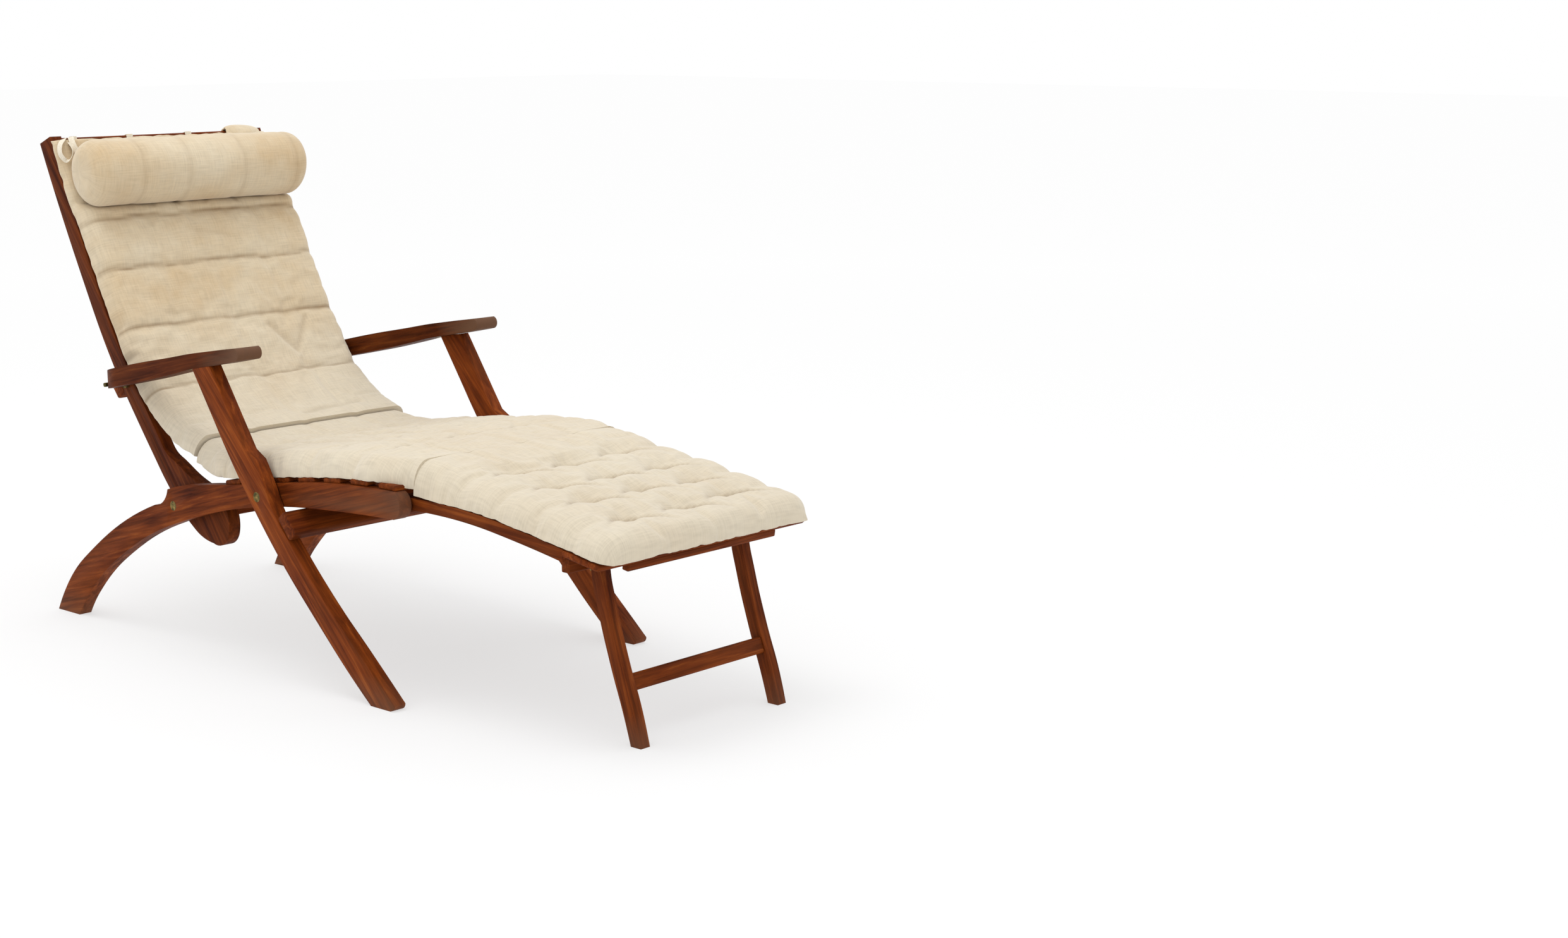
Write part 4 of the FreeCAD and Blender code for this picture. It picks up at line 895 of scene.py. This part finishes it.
def ribbon(name, path, width, twist, thickness=1.3 * MM, finish=("tape", cotton_tape, "cotton_tape"),
           gather=0.0):
    """A strip of cloth along a smooth line, its breadth turned by an angle at each point of the line. Its
    edges are gathered in towards the middle of the line."""
    fine = []
    ends = [path[0]] + list(path) + [path[-1]]
    for index in range(1, len(ends) - 2):
        a, b, c, d = [Vector(ends[index + k]) for k in (-1, 0, 1, 2)]
        for step in range(TAPE_STEPS):
            t = step / TAPE_STEPS
            fine.append((0.5 * (2 * b + (c - a) * t + (2 * a - 5 * b + 4 * c - d) * t * t
                                + (3 * b - a - 3 * c + d) * t ** 3),
                         twist[index - 1] + (twist[index] - twist[index - 1]) * t))
    fine.append((Vector(path[-1]), twist[-1]))
    vertices, faces = [], []
    shares = (-0.5, -0.45, -0.36, -0.17, 0.17, 0.36, 0.45, 0.5) if gather else (-0.5, -0.17, 0.17, 0.5)
    middle = sum((point for point, turn in fine), Vector()) / len(fine)
    for index, (point, turn) in enumerate(fine):
        before, after = fine[max(0, index - 1)][0], fine[min(len(fine) - 1, index + 1)][0]
        tangent = (after - before).normalized()
        side = tangent.orthogonal().normalized()
        across = Vector((1, 0, 0)) - tangent * tangent.x
        if across.length > 0.2:
            side = across.normalized()
        side = side * math.cos(turn) + tangent.cross(side) * math.sin(turn)
        for share in shares:
            inward = gather * abs(2 * share) ** 4 * (Vector((point.x, middle.y, middle.z)) - point)
            vertices.append(point + side * width * share + inward)
        if index:
            count = len(shares)
            row = count * index
            faces += [(row + i - count, row + i - count + 1, row + i + 1, row + i)
                      for i in range(count - 1)]
    mesh = bpy.data.meshes.new(name)
    mesh.from_pydata([tuple(v) for v in vertices], [], faces)
    cloth = mesh.uv_layers.new(name="cloth")
    for loop in mesh.loops:
        point = mesh.vertices[loop.vertex_index].co
        cloth.data[loop.index].uv = (point.x, point.z - point.y)
    piece = bpy.data.objects.new(name, mesh)
    bpy.context.scene.collection.objects.link(piece)
    only(piece)
    wall = piece.modifiers.new("tape thickness", "SOLIDIFY")
    wall.thickness = thickness
    wall.offset = 0
    bpy.ops.object.modifier_apply(modifier=wall.name)
    finer = piece.modifiers.new("finer tape", "SUBSURF")
    finer.levels = 1
    finer.render_levels = 1
    bpy.ops.object.modifier_apply(modifier=finer.name)
    bpy.ops.object.shade_smooth()
    piece.data.materials.append(finish_of(finish[0], finish[1]))
    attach(piece, "back")


class DECKCHAIR_OT_ties(bpy.types.Operator):
    """Gives the top rail's tapes their cotton, and adds a tied loop, a loose tail and a turned-over flap"""
    bl_idname = "deckchair.ties"
    bl_label = "Tapes"

    def execute(self, context):
        ribbon("tied_loop", [(-0.222, 0.722, 0.917), (-0.230, 0.712, 0.918), (-0.243, 0.704, 0.908),
                             (-0.247, 0.698, 0.892), (-0.240, 0.692, 0.880), (-0.228, 0.691, 0.884),
                             (-0.220, 0.697, 0.898), (-0.219, 0.710, 0.912)],
               0.011, [0.2, 0.5, 1.0, 1.3, 1.4, 1.2, 0.8, 0.3])
        ribbon("loose_tail", [(-0.205, 0.726, 0.920), (-0.212, 0.714, 0.920), (-0.214, 0.703, 0.906),
                              (-0.209, 0.697, 0.890), (-0.212, 0.690, 0.874)],
               0.012, [0.0, 0.2, 0.4, 0.3, 0.5])
        ribbon("turned_over_flap", [(0.192, 0.703, 0.888), (0.190, 0.709, 0.909), (0.193, 0.721, 0.924),
                                    (0.196, 0.738, 0.929), (0.195, 0.753, 0.922), (0.192, 0.761, 0.904)],
               0.078, [0.0, 0.03, 0.05, 0.05, 0.02, 0.0], 4.0 * MM, ("canvas", cotton_canvas, "canvas"), 0.55)
        mesh = frame["nodes"]["mattress_ties"].data
        mesh.materials.clear()
        mesh.materials.append(finish_of("tape", cotton_tape))
        return {"FINISHED"}


OPERATORS = (DECKCHAIR_OT_stage, DECKCHAIR_OT_seat_frame, DECKCHAIR_OT_back_frame, DECKCHAIR_OT_front_frame,
             DECKCHAIR_OT_leg_rest, DECKCHAIR_OT_fittings, DECKCHAIR_OT_mattress, DECKCHAIR_OT_head_roll,
             DECKCHAIR_OT_ties)


class DECKCHAIR_PT_panel(bpy.types.Panel):
    """Lists the chair's groups of pieces"""
    bl_label = "Deck chair"
    bl_idname = "DECKCHAIR_PT_panel"
    bl_space_type = "VIEW_3D"
    bl_region_type = "UI"
    bl_category = "Deck chair"

    def draw(self, context):
        for settings in (context.scene.deck_chair_timber, context.scene.deck_chair_mattress,
                         context.scene.deck_chair_stage):
            for name in settings.bl_rna.properties.keys():
                if name not in ("rna_type", "name"):
                    self.layout.prop(settings, name)
        for operator in OPERATORS:
            self.layout.operator(operator.bl_idname)


CLASSES = (TimberSettings, MattressSettings, StageSettings) + OPERATORS + (DECKCHAIR_PT_panel,)


def register():
    for item in CLASSES:
        bpy.utils.register_class(item)
    bpy.types.Scene.deck_chair_timber = PointerProperty(type=TimberSettings)
    bpy.types.Scene.deck_chair_mattress = PointerProperty(type=MattressSettings)
    bpy.types.Scene.deck_chair_stage = PointerProperty(type=StageSettings)


def unregister():
    del bpy.types.Scene.deck_chair_timber
    del bpy.types.Scene.deck_chair_mattress
    del bpy.types.Scene.deck_chair_stage
    for item in reversed(CLASSES):
        bpy.utils.unregister_class(item)


def main():
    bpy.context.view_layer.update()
    register()
    for operator in OPERATORS:
        group, name = operator.bl_idname.split(".")
        getattr(getattr(bpy.ops, group), name)()


if __name__ == "__main__":
    main()
